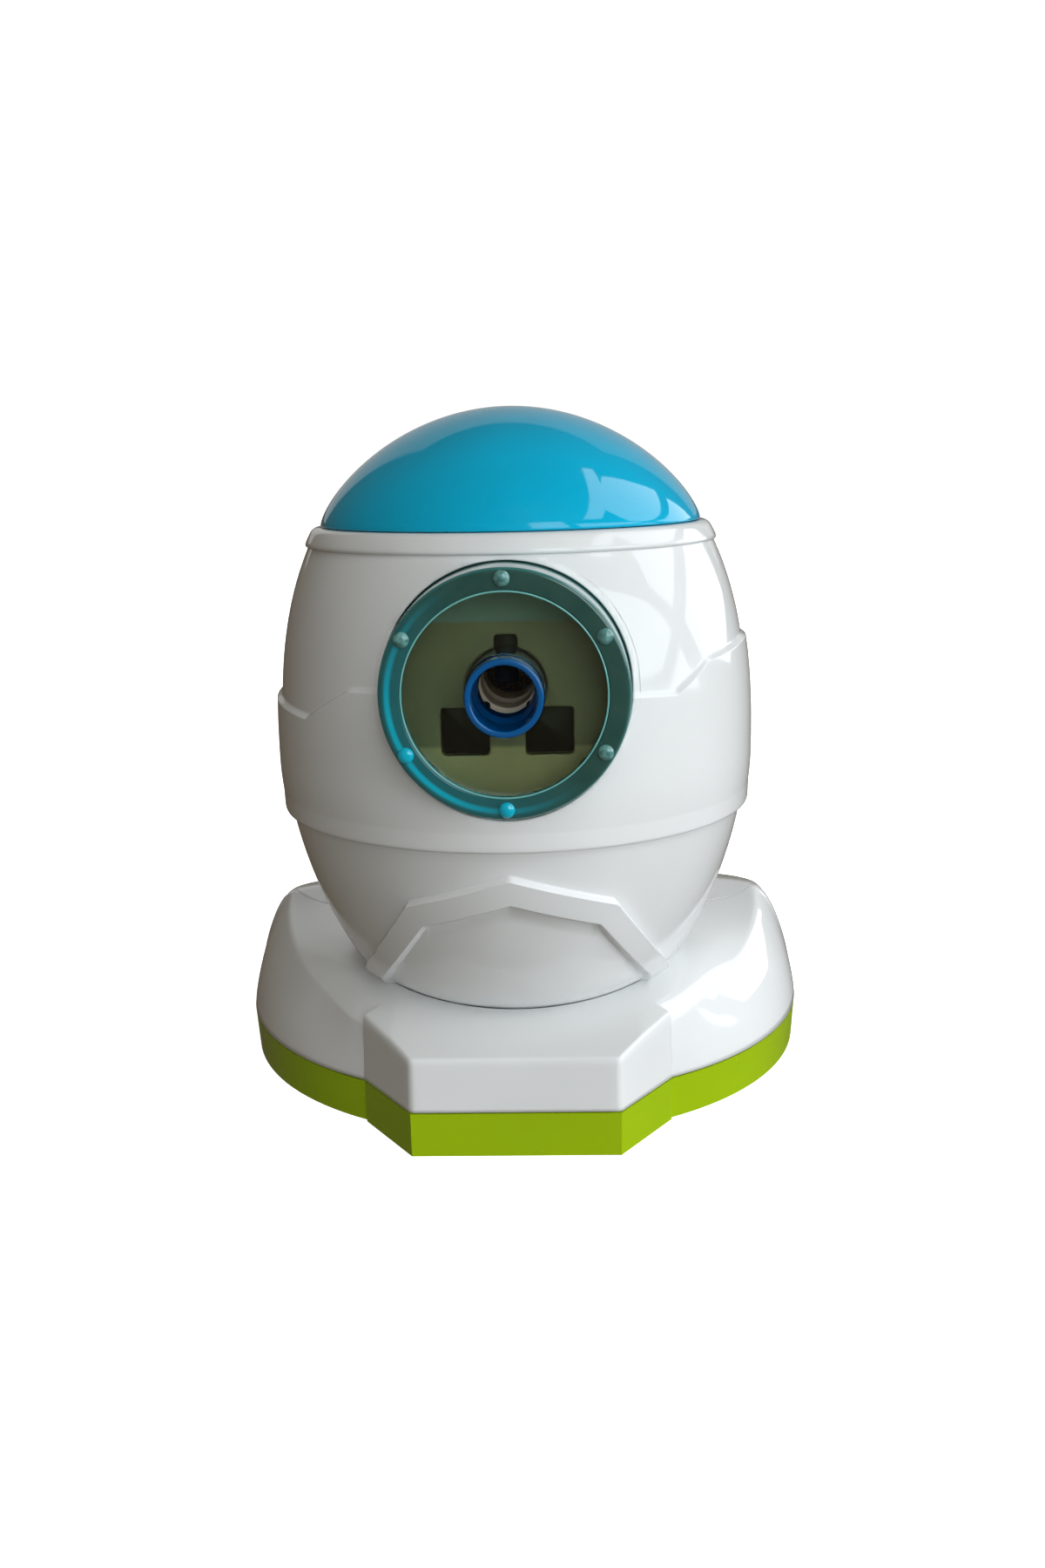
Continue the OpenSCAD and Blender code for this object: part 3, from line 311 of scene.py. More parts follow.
def eased(corners, steps=5):  # a closed outline with each (a, b, radius) corner rounded
    line = []
    for i, (a, b, radius) in enumerate(corners):
        here = Vector((a, b))
        back = Vector(corners[i - 1][:2]) - here
        on = Vector(corners[(i + 1) % len(corners)][:2]) - here
        if radius <= 0:
            line.append((a, b))
            continue
        reach = min(radius / math.tan(back.angle(on) / 2), back.length * 0.45, on.length * 0.45)
        start = here + back.normalized() * reach
        end = here + on.normalized() * reach
        for k in range(steps + 1):
            t = k / steps
            spot = start * (1 - t) ** 2 + here * 2 * t * (1 - t) + end * t * t
            line.append((spot.x, spot.y))
    return line


def spun(outline, turns, along="Z", middle=(0, 0), closed=True):  # a closed or open (radius, height) line turned
    verts, faces = [], []
    count = len(outline)
    for k in range(turns):
        angle = 2 * math.pi * k / turns
        for radius, height in outline:
            radius = max(radius, 0.0)
            if along == "Z":
                verts.append((middle[0] + radius * math.sin(angle), middle[1] - radius * math.cos(angle), height))
            else:
                verts.append((middle[0] + radius * math.sin(angle), height, middle[1] + radius * math.cos(angle)))
    for k in range(turns):
        for i in range(count if closed else count - 1):
            j = (i + 1) % count
            faces.append((k * count + i, k * count + j, (k + 1) % turns * count + j, (k + 1) % turns * count + i))
    return verts, faces


def gathered(*parts):  # several (verts, faces) as one
    verts, faces = [], []
    for moreVerts, moreFaces in parts:
        start = len(verts)
        verts += moreVerts
        faces += [tuple(start + i for i in face) for face in moreFaces]
    return verts, faces


def trimmed(verts, faces, outside, snap):  # cuts a surface where outside() is below zero, exactly on the line
    verts = [Vector(v) for v in verts]
    level = [outside(v) for v in verts]
    for i, value in enumerate(level):
        if abs(value) < snap:
            step = Vector([(outside(verts[i] + axis * 0.01) - value) / 0.01 for axis in
                           (Vector((1, 0, 0)), Vector((0, 1, 0)), Vector((0, 0, 1)))])
            if step.length > 0.1:
                verts[i] = verts[i] - step * value / step.length_squared
            level[i] = 0.0
    kept, cuts = [], {}

    def crossing(i, j):
        key = (min(i, j), max(i, j))
        if key not in cuts:
            t = level[i] / (level[i] - level[j])
            cuts[key] = len(verts)
            verts.append(verts[i].lerp(verts[j], t))
        return cuts[key]

    for face in faces:
        if all(level[i] <= 0 for i in face):
            continue
        ring = []
        for i, j in zip(face, face[1:] + face[:1]):
            if level[i] >= 0:
                ring.append(i)
            if level[i] * level[j] < 0:
                ring.append(crossing(i, j))
        if len(ring) > 2:
            kept.append(tuple(ring))
    return [tuple(v) for v in verts], kept


def pieceFrom(name, shape, finish, body, replaced, thick=0.0, sharp=None, weigh=False, look=None):
    verts, faces = shape
    mesh = bpy.data.meshes.new(name)
    mesh.from_pydata([(x * mm, y * mm, z * mm) for x, y, z in verts], [], faces)
    work = bmesh.new()
    work.from_mesh(mesh)
    bmesh.ops.remove_doubles(work, verts=work.verts, dist=0.002 * mm)
    loose = [v for v in work.verts if not v.link_faces]
    bmesh.ops.delete(work, geom=loose, context="VERTS")
    bmesh.ops.recalc_face_normals(work, faces=work.faces)
    for face in work.faces:
        face.smooth = True
    if sharp:
        for edge in work.edges:
            if len(edge.link_faces) == 2 and edge.calc_face_angle() > math.radians(sharp):
                edge.smooth = False
    work.to_mesh(mesh)
    work.free()
    piece = bpy.data.objects.new(name, mesh)
    scene.collection.objects.link(piece)
    mesh.materials.append(look or finishes[finish])
    if thick:
        skin = piece.modifiers.new("thickness", "SOLIDIFY")
        skin.thickness = thick * mm
        skin.offset = -1
        skin.use_even_offset = False
    if weigh:
        normals = piece.modifiers.new("normals", "WEIGHTED_NORMAL")
        normals.keep_sharp = True
        normals.weight = 80
    if thick or weigh:
        baked = bpy.data.meshes.new_from_object(piece.evaluated_get(bpy.context.evaluated_depsgraph_get()))
        piece.modifiers.clear()
        piece.data = baked
    if replaced:
        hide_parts(*replaced)
    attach(piece, body)
    return piece


def gridFaces(columns, rows):  # faces of a sheet of points, column by column
    return [(c * rows + r, (c + 1) * rows + r, (c + 1) * rows + r + 1, c * rows + r + 1)
            for c in range(columns - 1) for r in range(rows - 1)]


# the body's two shells
egg = {"fullRadius": 41.5, "belly": 62, "above": (60.0, 2.6), "below": (57.6, 1.7),  # (reach, power) of each curve
       "waist": 26, "waistRadius": 30.8, "waistReach": 12.5, "waistPower": 1.15, "lowest": 13.6,
       "thick": 1.3, "bottom": 14.6, "bandProud": 1.15, "stepProud": 0.85, "lipProud": 0.75, "archProud": 1.45,
       "step": [(-90, 74.4), (-71, 73.7), (-52.6, 73.1), (-37, 78.7), (-29, 78.9), (28, 77.6), (40, 77.1),
                (52, 81.6), (75, 83), (90, 83)],  # (degrees from the middle, height) of the raised part's edge
       "archOuter": [(0, 49.5), (25.7, 43.9), (30, 40.5), (35.5, 36.8), (42.9, 32.5), (57, 26.8), (72, 20)],
       "archInner": [(0, 43.9), (22, 39.25), (25.5, 36.65), (29.65, 33.85), (34.85, 30.75), (42.2, 27.1), (55, 22),
                     (70, 16.5)],
       "archEnd": 75, "rearArch": (15.2, 15.6), "innerEdge": 0.6, "outerEdge": 0.9, "stepEdge": 0.85,
       "groove": [(53.1, -0.05), (53.36, -0.05)],  # (height, how far proud)
       "band": [(53.40, 0.4), (53.44, 0.8), (53.55, 0.96), (53.75, 1), (54.0, 1)],  # (height, share of bandProud)
       "bandSlope": 2.7, "stepFoot": [56.7, 57.0, 57.4, 57.9],
       "lip": [(98.4, 0), (98.72, 0), (98.8, 0.35), (98.95, 0.7), (99.25, 0.93), (99.7, 1), (100.4, 1), (101.0, 1),
               (101.35, 0.95), (101.65, 0.75), (101.85, 0.4)],  # (height, share of lipProud)
       "mouth": [(101.95, -0.05), (102.0, -0.5), (102.0, -1.2)]}
bevel = [(0, 0), (0.08, 0.06), (0.5, 0.56), (0.86, 0.95), (1, 1)]  # how a raised edge climbs, as shares of its width


def eggRadius(z):  # of the plain body, without its raised parts
    if z > egg["belly"]:
        reach, power = egg["above"]
        return egg["fullRadius"] * math.sqrt(max(0, 1 - ((z - egg["belly"]) / reach) ** power))
    if z > egg["waist"]:
        reach, power = egg["below"]
        return egg["fullRadius"] * math.sqrt(max(0, 1 - ((egg["belly"] - z) / reach) ** power))
    drop = (egg["waist"] - max(z, egg["lowest"])) / egg["waistReach"]
    return egg["waistRadius"] * math.sqrt(max(0, 1 - drop ** egg["waistPower"]))


def spanned(start, end, count):  # count points from start up to but not with end
    return [start + (end - start) * k / count for k in range(count)]


def eggColumn(angle, face):  # (height, how far proud) from the bottom up, at this angle from the shell's middle
    degrees = math.degrees(angle)
    inner = between(abs(degrees), egg["archInner"])
    outer = between(abs(degrees), egg["archOuter"])
    if face < 0:
        inner, outer = egg["rearArch"]
    arch = egg["archProud"] if face > 0 and abs(degrees) < egg["archEnd"] else 0.0
    rows = [(z, 0) for z in spanned(egg["bottom"], inner - 0.2, 10)]
    rows += [(inner - 0.1 + egg["innerEdge"] * t, arch * h) for t, h in bevel]
    top = max(outer, inner + 2.2)
    rows += [(z, arch) for z in spanned(inner + 0.7, top - 0.95, 4)]
    rows += [(top - egg["outerEdge"] + egg["outerEdge"] * t, arch * (1 - h)) for t, h in bevel]
    rows += [(z, 0) for z in spanned(top + 0.12, egg["groove"][0][0], 12)]
    band, proud = egg["bandProud"], egg["stepProud"]
    rows += egg["groove"] + [(z, band * share) for z, share in egg["band"]]
    bandTop = egg["band"][-1][0]
    rows += [(bandTop + egg["bandSlope"] * t, band + (proud - band) * t) for t in (0.12, 0.4, 0.7, 0.92)]
    ledge = between(degrees, egg["step"])
    rows += [(z, proud) for z in egg["stepFoot"][:-1] + spanned(egg["stepFoot"][-1], ledge - 1.2, 16)]
    rows += [(ledge - 1.1, proud), (ledge - 0.95, proud)]
    rows += [(ledge - egg["stepEdge"] + egg["stepEdge"] * t, proud * (1 - h)) for t, h in bevel]
    rows += [(ledge + 0.15, 0.0), (ledge + 0.45, 0)]
    rows += [(z, 0) for z in spanned(ledge + 0.9, egg["lip"][0][0], 18)]
    return rows + [(z, egg["lipProud"] * share) for z, share in egg["lip"]] + egg["mouth"]


def eggSkin(face):  # face 1 is the front shell, -1 the rear one
    reach = math.pi / 2 - 0.0012
    angles = [reach * k / 90 for k in range(-90, 91)]
    corners = [math.radians(turn) for turn, z in egg["step"][1:-1]]
    for turn, z in egg["archOuter"][:-1] + egg["archInner"][:-1]:
        corners += [math.radians(turn), -math.radians(turn)]
    steady = sorted(corners + [angle for angle in angles if min(abs(angle - c) for c in corners) > 0.006])
    steady = [angle for k, angle in enumerate(steady) if k == 0 or angle - steady[k - 1] > 0.0001]
    columns = [eggColumn(angle, face) for angle in steady]
    verts = []
    for angle, column in zip(steady, columns):
        for z, proud in column:
            radius = eggRadius(z) + proud
            verts.append((radius * math.sin(angle), -face * radius * math.cos(angle), z))
    return verts, gridFaces(len(steady), len(columns[0]))


def rimAround(verts, faces, x, z, radius, front=False):  # the edge of a round opening, in order round it
    used = {i for face in faces for i in face}
    rim = [i for i in used if abs(math.hypot(verts[i][0] - x, verts[i][2] - z) - radius) < 0.02
           and (verts[i][1] < 0 or not front)]
    return sorted(rim, key=lambda i: math.atan2(verts[i][0] - x, verts[i][2] - z))


def joinRings(first, second):  # a band of faces between two closed rings of points
    return [(first[k], first[(k + 1) % len(first)], second[(k + 1) % len(first)], second[k])
            for k in range(len(first))]


window = {"radius": 19.6, "depth": -28.0,
          "rimRound": [(0.07, 0.02), (0.15, 0.07), (0.22, 0.22)]}  # (inwards, back) of the opening's rounded edge


def frontShell():
    edge = window["radius"] + window["rimRound"][-1][0]
    verts, faces = eggSkin(1)
    verts, faces = trimmed(verts, faces, lambda v: math.hypot(v.x, v.z - axisHeight) - edge, 0.22)
    rim = rimAround(verts, faces, 0, axisHeight, edge, True)
    rings = [rim]
    for inward, back in window["rimRound"] + [(window["rimRound"][-1][0], None)]:
        ring = []
        for i in rim:
            x, y, z = verts[i]
            turn = math.atan2(x, z - axisHeight)
            radius = edge - inward
            ring.append(len(verts))
            verts.append((radius * math.sin(turn), window["depth"] if back is None else y + back,
                          axisHeight + radius * math.cos(turn)))
        rings.append(ring)
    for first, second in zip(rings, rings[1:]):
        faces += joinRings(first, second)
    return verts, faces


rear = {"bossRadius": 9.0, "bossBack": 36, "bossFace": 42.3, "bossHole": 5.2,
        "screws": [(-33.0, 48.0), (33.0, 48.0)], "screwRadius": 2.6, "screwFloor": 9.0}


def rearShell():
    verts, faces = eggSkin(-1)

    def clear(v):
        free = math.hypot(v.x, v.z - axisHeight) - rear["bossRadius"] + 0.1
        for x, z in rear["screws"]:
            free = min(free, math.hypot(v.x - x, v.z - z) - rear["screwRadius"])
        return free

    verts, faces = trimmed(verts, faces, clear, 0.15)
    rims = [rimAround(verts, faces, x, z, rear["screwRadius"]) for x, z in rear["screws"]]
    for rim in rims:
        floor = list(range(len(verts), len(verts) + len(rim)))
        verts += [(verts[i][0], rear["screwFloor"], verts[i][2]) for i in rim]
        faces += joinRings(rim, floor)
    return verts, faces


bossRing = spun(eased([(rear["bossHole"], rear["bossBack"], 0.1), (rear["bossRadius"], rear["bossBack"], 0.1),
                       (rear["bossRadius"], rear["bossFace"], 0.6), (rear["bossHole"], rear["bossFace"], 0.3)]),
                72, "Y", (0, axisHeight))
pieceFrom("bodyFront", frontShell(), "white_plastic", "frame", ["egg_front_shell"], thick=egg["thick"], sharp=50)
pieceFrom("bodyRear", rearShell(), "white_plastic", "frame", ["egg_rear_shell"], thick=egg["thick"], sharp=50)
pieceFrom("rearBoss", bossRing, "white_plastic", "frame", ["egg_rear_shell"], weigh=True)
print("body shells made")


# dome
dome = {"foot": 102.35, "top": 121.4, "radius": 32.9, "power": 1.35, "thick": 2.0, "inner": 31.1, "innerShare": 0.86,
        "edge": [(0.04, 102.22), (0.2, 102.1), (0.5, 102.05), (1.5, 102.05), (1.7, 102.4)]}  # (inwards, height)


def domeShape():
    line, inner = [], []
    for k in range(61):
        t = 1 - (k / 60) ** 2
        z = dome["foot"] + (dome["top"] - dome["foot"]) * t
        line.append((dome["radius"] * math.sqrt(max(0, 1 - t ** dome["power"])), z))
    line += [(dome["radius"] - inset, z) for inset, z in dome["edge"]]
    for k in range(25):
        z = dome["foot"] + (dome["top"] - dome["foot"] - dome["thick"]) * (k / 24 * dome["innerShare"])
        inner.append((dome["inner"] * math.sqrt(max(0, 1 - (k / 24) ** dome["power"])), z))
    return line + inner


pieceFrom("domeCap", spun(domeShape(), 144, closed=False), "blue_plastic", "frame", ["dome_cap"])
print("dome made")


# base covers
base = {"radius": 54.9, "foot": 7.95, "gap": 0.3, "thick": 0.9, "seamTurn": 138.6,
        "tabHalf": 17.6, "tabFront": -38.6, "tabCorner": 1.0, "creaseX": 26.9, "creaseY": -25.4,
        "tabTop": 17.2, "rise": 0.25, "deckTop": 25.0, "rearFall": 0.2508, "rearStart": 30.1,
        "tabEdge": (0.6, 0.5, 1.0),  # (inset, softness, width of the valley behind it)
        "crestHeight": [(-25.4, 17.8), (22.6, 28.5)],  # these four tables go by y
        "crestRadius": [(-25.4, 54.3), (-22, 53.4), (-18, 51.9), (-14, 50.6), (-10, 49.8), (-6, 49.1), (-2, 48.4),
                        (2, 47.9), (6, 47.5), (12, 47.0), (22.6, 46.6)],
        "valley": [(-25.4, 3.2), (-14.5, 6.0), (2, 9.0), (22.6, 9.0)],
        "crestSoft": [(-25.4, 0.4), (-6, 0.5), (22.6, 1.3)],
        "shelfTop": 28.5, "shelfFall": 0.2141, "shelfStart": 39.2, "shelfInset": 8.7, "shelfEdge": (1.6, 7.0),
        "bow": (1.35, 1.75), "bowFoot": 7.7, "bowHeight": 20.8, "sidePoints": 15, "topPoints": 34}


def lowerOf(a, b, soft=0.6):  # the lower of two heights, blended where they meet
    gap = (a - b) / soft
    if abs(gap) > 20:
        return min(a, b)
    return -soft * math.log(math.exp(-(a - min(a, b)) / soft) + math.exp(-(b - min(a, b)) / soft)) + min(a, b)


def deckHeight(x, y):  # it rises from the tab, runs level and falls to the back
    front = base["tabTop"] + base["rise"] * (y - base["tabFront"])
    back = base["deckTop"] - base["rearFall"] * (y - base["rearStart"])
    deck = lowerOf(lowerOf(front, base["deckTop"]), back)
    sideways = max(0.0, abs(x) - 21) * 0.09 * softStep((5 - y) / 25)  # it dips towards the front lobes
    return deck - sideways


def baseOutline(face):  # half of the plan from the middle out to the seam: (x, y, inward x, inward y, kind)
    spots = []
    if face > 0:
        half, front = base["tabHalf"], base["tabFront"]
        sideX, sideY = base["creaseX"] - half, base["creaseY"] - front
        length = math.hypot(sideX, sideY)
        away = (-sideY / length, sideX / length)
        for k in range(16):
            spots.append((half * k / 17, front, 0.0, 1.0, "tab"))
        corner = base["tabCorner"]
        start = Vector((half - corner, front))
        end = Vector((half + corner * sideX / length, front + corner * sideY / length))
        for k in range(7):
            t = k / 6
            spot = start * (1 - t) ** 2 + Vector((half, front)) * 2 * t * (1 - t) + end * t * t
            lean = Vector((0, 1)).lerp(Vector(away), t).normalized()
            spots.append((spot.x, spot.y, lean.x, lean.y, "tab"))
        for k in list(range(2, 15)) + [14.5, 14.8, 15]:
            t = k / 15
            spots.append((half + sideX * t, front + sideY * t, away[0], away[1], "tab"))
        first = math.asin(base["creaseX"] / base["radius"])
        turns = [first + 0.002] + [first + (math.pi / 2 - first) * (k / 64) ** 1.15 for k in range(1, 65)]
    else:
        turns = [math.pi * (1 - 0.5 * k / 90) for k in range(91)]
    for turn in turns:
        x, y = base["radius"] * math.sin(turn), baseMiddle - base["radius"] * math.cos(turn)
        spots.append((x, y, -math.sin(turn), math.cos(turn), "lobe"))
    return spots


def shelfHeight(y):
    return base["shelfTop"] - base["shelfFall"] * (y - baseMiddle)


def rearHeight(x, y):  # the lobes run round the back as a broad shelf above the falling deck
    radius = math.hypot(x, y - baseMiddle)
    if radius > base["shelfStart"]:
        inside = base["deckTop"] + 3.5 * ((radius - base["shelfStart"]) / 7) ** 1.7
    else:
        inside = base["deckTop"] - (base["shelfStart"] - radius) * 1.4
    ring = lowerOf(inside, shelfHeight(y), 0.4)
    return -lowerOf(-ring, -deckHeight(x, y), 0.35)


def bowed(share):  # how far in the side leans at a share of its full height
    rise, power = base["bow"]
    return 1 - max(0.0, 1 - share ** rise) ** (1 / power)


def crestEdge(spot, face):  # where the side turns into the top: (inset, height, softness, valley's width)
    x, y, inX, inY, kind = spot
    if kind == "tab":
        inset, soft, valley = base["tabEdge"]
        return inset, deckHeight(x + inX * inset, y + inY * inset), soft, valley
    if face < 0:
        crest = shelfHeight(y)
        return (base["shelfInset"] * bowed((crest - base["bowFoot"]) / base["bowHeight"]), crest, *base["shelfEdge"])
    inset = 4.0
    for k in range(5):  # settles where the table's radius and the inset agree
        table = min(y + inY * inset, baseMiddle)
        inset = base["radius"] - between(table, base["crestRadius"])
    return inset, *(between(table, base[key]) for key in ("crestHeight", "crestSoft", "valley"))


def bodyFoot(crestX, crestY, face):  # where the top's line in from this crest meets the body
    polar = math.atan2(abs(crestX), -crestY)
    seam = math.atan2(base["radius"], -baseMiddle)
    crease = math.atan2(base["creaseX"], -base["creaseY"])
    seamEnd = math.radians(base["seamTurn"])
    if face > 0:
        wide = polar + (seamEnd - seam) * max(0.0, (polar - crease) / (seam - crease)) ** 1.5
    else:
        wide = math.pi - (math.pi - polar) * (math.pi - seamEnd) / (math.pi - seam)
    side = 1 if crestX >= 0 else -1
    radius = 28.0
    for k in range(5):
        x, y = side * radius * math.sin(wide), -radius * math.cos(wide)
        radius = eggRadius(deckHeight(x, y)) + 0.15
    return x, y


def coverColumn(spot, face):  # up the side, over the crest and in to the body
    x, y, inX, inY, kind = spot
    inset, crest, soft, valley = crestEdge(spot, face)
    height = crest - base["foot"]
    share = (crest - base["bowFoot"]) / base["bowHeight"]
    side = []
    for k in range(16):
        s = k / 16
        bow = s * 0.5 if kind == "tab" else bowed(s * share) / bowed(share)
        side.append(Vector((x + inX * inset * bow, y + inY * inset * bow, base["foot"] + height * s)))
    crestX, crestY = x + inX * inset, y + inY * inset
    corner = Vector((crestX, crestY, crest))
    endX, endY = bodyFoot(crestX, crestY, face)
    run = math.hypot(endX - crestX, endY - crestY)
    rise = crest - deckHeight(crestX, crestY)
    tops = []
    for k in range(1, 37):
        t = (k / 36) ** 1.35
        px, py = crestX + (endX - crestX) * t, crestY + (endY - crestY) * t
        fade = max(0.0, 1 - run * t / valley)
        level = deckHeight(px, py) + rise * fade ** 2.1 if face > 0 else rearHeight(px, py)
        tops.append(Vector((px, py, level)))
    ridge = [p for p in side if (p - corner).length > soft]
    inner = [p for p in tops if (p - corner).length > soft]
    start = corner - (corner - ridge[-1]).normalized() * soft * 0.9
    end = corner + (inner[0] - corner).normalized() * soft * 0.9
    turned = [start * (1 - t) ** 2 + corner * 2 * t * (1 - t) + end * t * t for t in (0, 0.2, 0.4, 0.6, 0.8, 1)]
    path = resampled(ridge + [start], base["sidePoints"])[:-1] + turned
    path += resampled([end] + inner, base["topPoints"])[1:]
    last = path[-1]
    inwardX, inwardY = -endX / math.hypot(endX, endY), -endY / math.hypot(endX, endY)
    path += [last + Vector((inwardX * inwards, inwardY * inwards, -drop))
             for inwards, drop in ((0.1, 0.12), (0.12, 0.4), (0.12, 1.6))]
    return path


def resampled(points, count):  # the same line through count points, close together at its rounded end
    lengths = [0.0]
    for a, b in zip(points, points[1:]):
        lengths.append(lengths[-1] + (b - a).length)
    out = []
    spot = 0
    for k in range(count):
        want = lengths[-1] * k / (count - 1)
        while spot < len(points) - 2 and lengths[spot + 1] < want:
            spot += 1
        span = lengths[spot + 1] - lengths[spot]
        out.append(points[spot].lerp(points[spot + 1], 0 if span == 0 else min(1, (want - lengths[spot]) / span)))
    return out


def coverSkin(face):
    half = baseOutline(face)
    seam = baseMiddle - face * base["gap"] / 2
    spots = [(-x, y, -inX, inY, kind) for x, y, inX, inY, kind in reversed(half) if x > 1e-6] + half
    verts = []
    for spot in spots:
        for point in coverColumn(spot, face):
            verts.append((point.x, min(point.y, seam) if face > 0 else max(point.y, seam), point.z))
    return verts, gridFaces(len(spots), len(verts) // len(spots))


drawerWay = {"half": 22.0, "top": 13.1, "from": 60}
pieceFrom("coverFront", coverSkin(1), "white_plastic", "frame", ["base_front_cover"], thick=base["thick"], sharp=40)
rearSkin = trimmed(*coverSkin(-1), lambda v: max(abs(v.x) - drawerWay["half"], v.z - drawerWay["top"],
                                                 drawerWay["from"] - v.y), 0.1)
pieceFrom("coverRear", rearSkin, "white_plastic", "frame", ["base_rear_cover"], thick=base["thick"], sharp=40)
print("base covers made")


# faceplate and pencil tube
plate = {"rimFront": -43.3, "rimOut": 19.15, "back": -33.5, "backOut": 19.5, "backWall": 1.6, "skirt": 17.4,
         "pane": 15.55, "paneOut": 15.85, "paneFront": -42.1, "paneBack": -40.5, "hole": 6.02, "bead": 0.15,
         "studRing": 17.55, "studs": 6,
         "stud": [(0, -0.62), (0.35, -0.6), (0.75, -0.5), (1.05, -0.32), (1.22, -0.12), (1.25, 0.1), (1.25, 1.6),
                  (0, 1.6)]}  # (radius, back from the rim's front)


def ringPiece(name, line, finish, replaced, **more):  # a line turned round the pencil's axis
    pieceFrom(name, spun(line, 160, "Y", (0, axisHeight)), finish, "faceplate", [replaced], **more)


def allStuds():
    line = [(radius, plate["rimFront"] + back) for radius, back in plate["stud"]]
    turns = [k * math.tau / plate["studs"] for k in range(plate["studs"])]
    return gathered(*(spun(line, 32, "Y", (plate["studRing"] * math.sin(turn),
                                           axisHeight + plate["studRing"] * math.cos(turn)), closed=False)
                      for turn in turns))


paneLine = [(plate["hole"], plate["paneFront"]), (plate["paneOut"], plate["paneFront"]),
            (plate["paneOut"], plate["paneBack"]), (plate["hole"], plate["paneBack"])]
rimLine = eased([(plate["pane"], plate["paneBack"] - 0.1, 0.1), (plate["pane"], plate["paneFront"] - 0.1, 0.2),
                 (plate["pane"] + 0.25, plate["rimFront"], 0.4), (plate["rimOut"], plate["rimFront"], 0.8),
                 (plate["backOut"], plate["back"], 0.2), (plate["backOut"] - plate["backWall"], plate["back"], 0.2),
                 (plate["skirt"], plate["paneBack"], 0.3)])
# the bead's ring: a light teal piece on the pane's edge, a painted highlight
highlightBeadLine = [(plate["pane"] + 0.12 + plate["bead"] * math.sin(k * math.tau / 12),
             plate["rimFront"] + 0.1 + plate["bead"] * math.cos(k * math.tau / 12)) for k in range(12)]
ringPiece("windowPane", paneLine, "teal_window", "window_plate", sharp=50, weigh=True)
ringPiece("windowRim", rimLine, "teal_window", "window_plate", sharp=50, weigh=True, look=rimTintAndPaintedGlow())
ringPiece("windowHighlightBead", highlightBeadLine, "teal_window", "window_plate", look=beadPaintedHighlight)
pieceFrom("windowStuds", allStuds(), "teal_window", "faceplate", ["window_plate"], look=studTintAndPaintedGlow())

tube = {"front": -45.2, "out": 6.0, "bore": 5.0, "back": -32.5, "collar": 6.2, "throat": 4.4, "throatFront": -36.5,
        "boreBack": -38.3, "lip": 0.35}
tubeLine = eased([(tube["bore"], tube["front"], tube["lip"]), (tube["out"], tube["front"], tube["lip"]),
                  (tube["out"], plate["paneBack"], 0.0), (tube["collar"], plate["paneBack"], 0.2),
                  (tube["collar"], tube["back"], 0.2), (tube["throat"], tube["back"], 0.2),
                  (tube["throat"], tube["throatFront"], 0.3), (tube["bore"], tube["boreBack"], 0.3)])
pieceFrom("pencilTube", spun(tubeLine, 96, "Y", (0, axisHeight)), "blue_tube", "faceplate", ["pencil_tube"],
          sharp=50, weigh=True)

grip = {"front": -33.9, "outer": 17.2, "hole": 6.4, "thick": 0.36, "slack": 0.1, "corner": 0.7,
        "jawFront": -32.2, "jawBack": -28.25,
        "Top": (0, 82.6, 1.78, 3.95), "Right": (6.65, 71.45, 3.75, 3.75),  # (x, z, half width, half height)
        "Left": (-6.65, 71.45, 3.75, 3.75), "keep": {"Top": 0.3, "Right": 4.6, "Left": 4.6}}
jaws = ("Top", "Right", "Left")


def offBlock(x, z, block, grow=0.0):  # how far a point is outside a rounded rectangle
    corner = grip["corner"]
    dx, dz = abs(x - block[0]) - block[2] + corner - grow, abs(z - block[1]) - block[3] + corner - grow
    return math.hypot(max(dx, 0), max(dz, 0)) + min(max(dx, dz), 0) - corner


def gripFace():  # the carrier's flat front, with an opening for each jaw
    rings = [grip["hole"] + (grip["outer"] - grip["hole"]) * k / 30 for k in range(31)]
    verts = [(r * math.sin(k * math.tau / 180), grip["front"], axisHeight + r * math.cos(k * math.tau / 180))
             for k in range(181) for r in rings]
    return trimmed(verts, gridFaces(181, 31),
                   lambda v: min(offBlock(v.x, v.z, grip[jaw], grip["slack"]) for jaw in jaws), 0.08)


def jawBlock(block, keep):  # a rounded block, scooped out where the pencil passes
    x, z, halfX, halfZ = block
    corners = [(x - halfX, z - halfZ), (x - halfX, z + halfZ), (x + halfX, z + halfZ), (x + halfX, z - halfZ)]
    outline = eased([(*corner, grip["corner"]) for corner in corners], 6)
    dense = []
    for (ax, az), (bx, bz) in zip(outline, outline[1:] + outline[:1]):
        steps = max(1, int(math.hypot(bx - ax, bz - az) / 0.35))
        dense += [(ax + (bx - ax) * k / steps, az + (bz - az) * k / steps) for k in range(steps)]
    outline = []
    for px, pz in dense:
        gap = math.hypot(px, pz - axisHeight)
        push = max(1.0, keep / gap)
        outline.append((px * push, axisHeight + (pz - axisHeight) * push))
    layers = [(grip["jawFront"] + back, inset) for back, inset in ((0, 0.25), (0.08, 0.08), (0.25, 0.0))]
    layers.append((grip["jawBack"], 0.0))
    middleX, middleZ = (sum(point[k] for point in outline) / len(outline) for k in (0, 1))
    verts = []
    for y, inset in layers:
        for px, pz in outline:
            away = math.hypot(px - middleX, pz - middleZ)
            verts.append((px - (px - middleX) * inset / away, y, pz - (pz - middleZ) * inset / away))
    count = len(outline)
    rings = [range(j * count, (j + 1) * count) for j in range(len(layers))]
    faces = [face for first, second in zip(rings, rings[1:]) for face in joinRings(first, second)]
    return verts, faces + [tuple(rings[0]), tuple(rings[-1])]


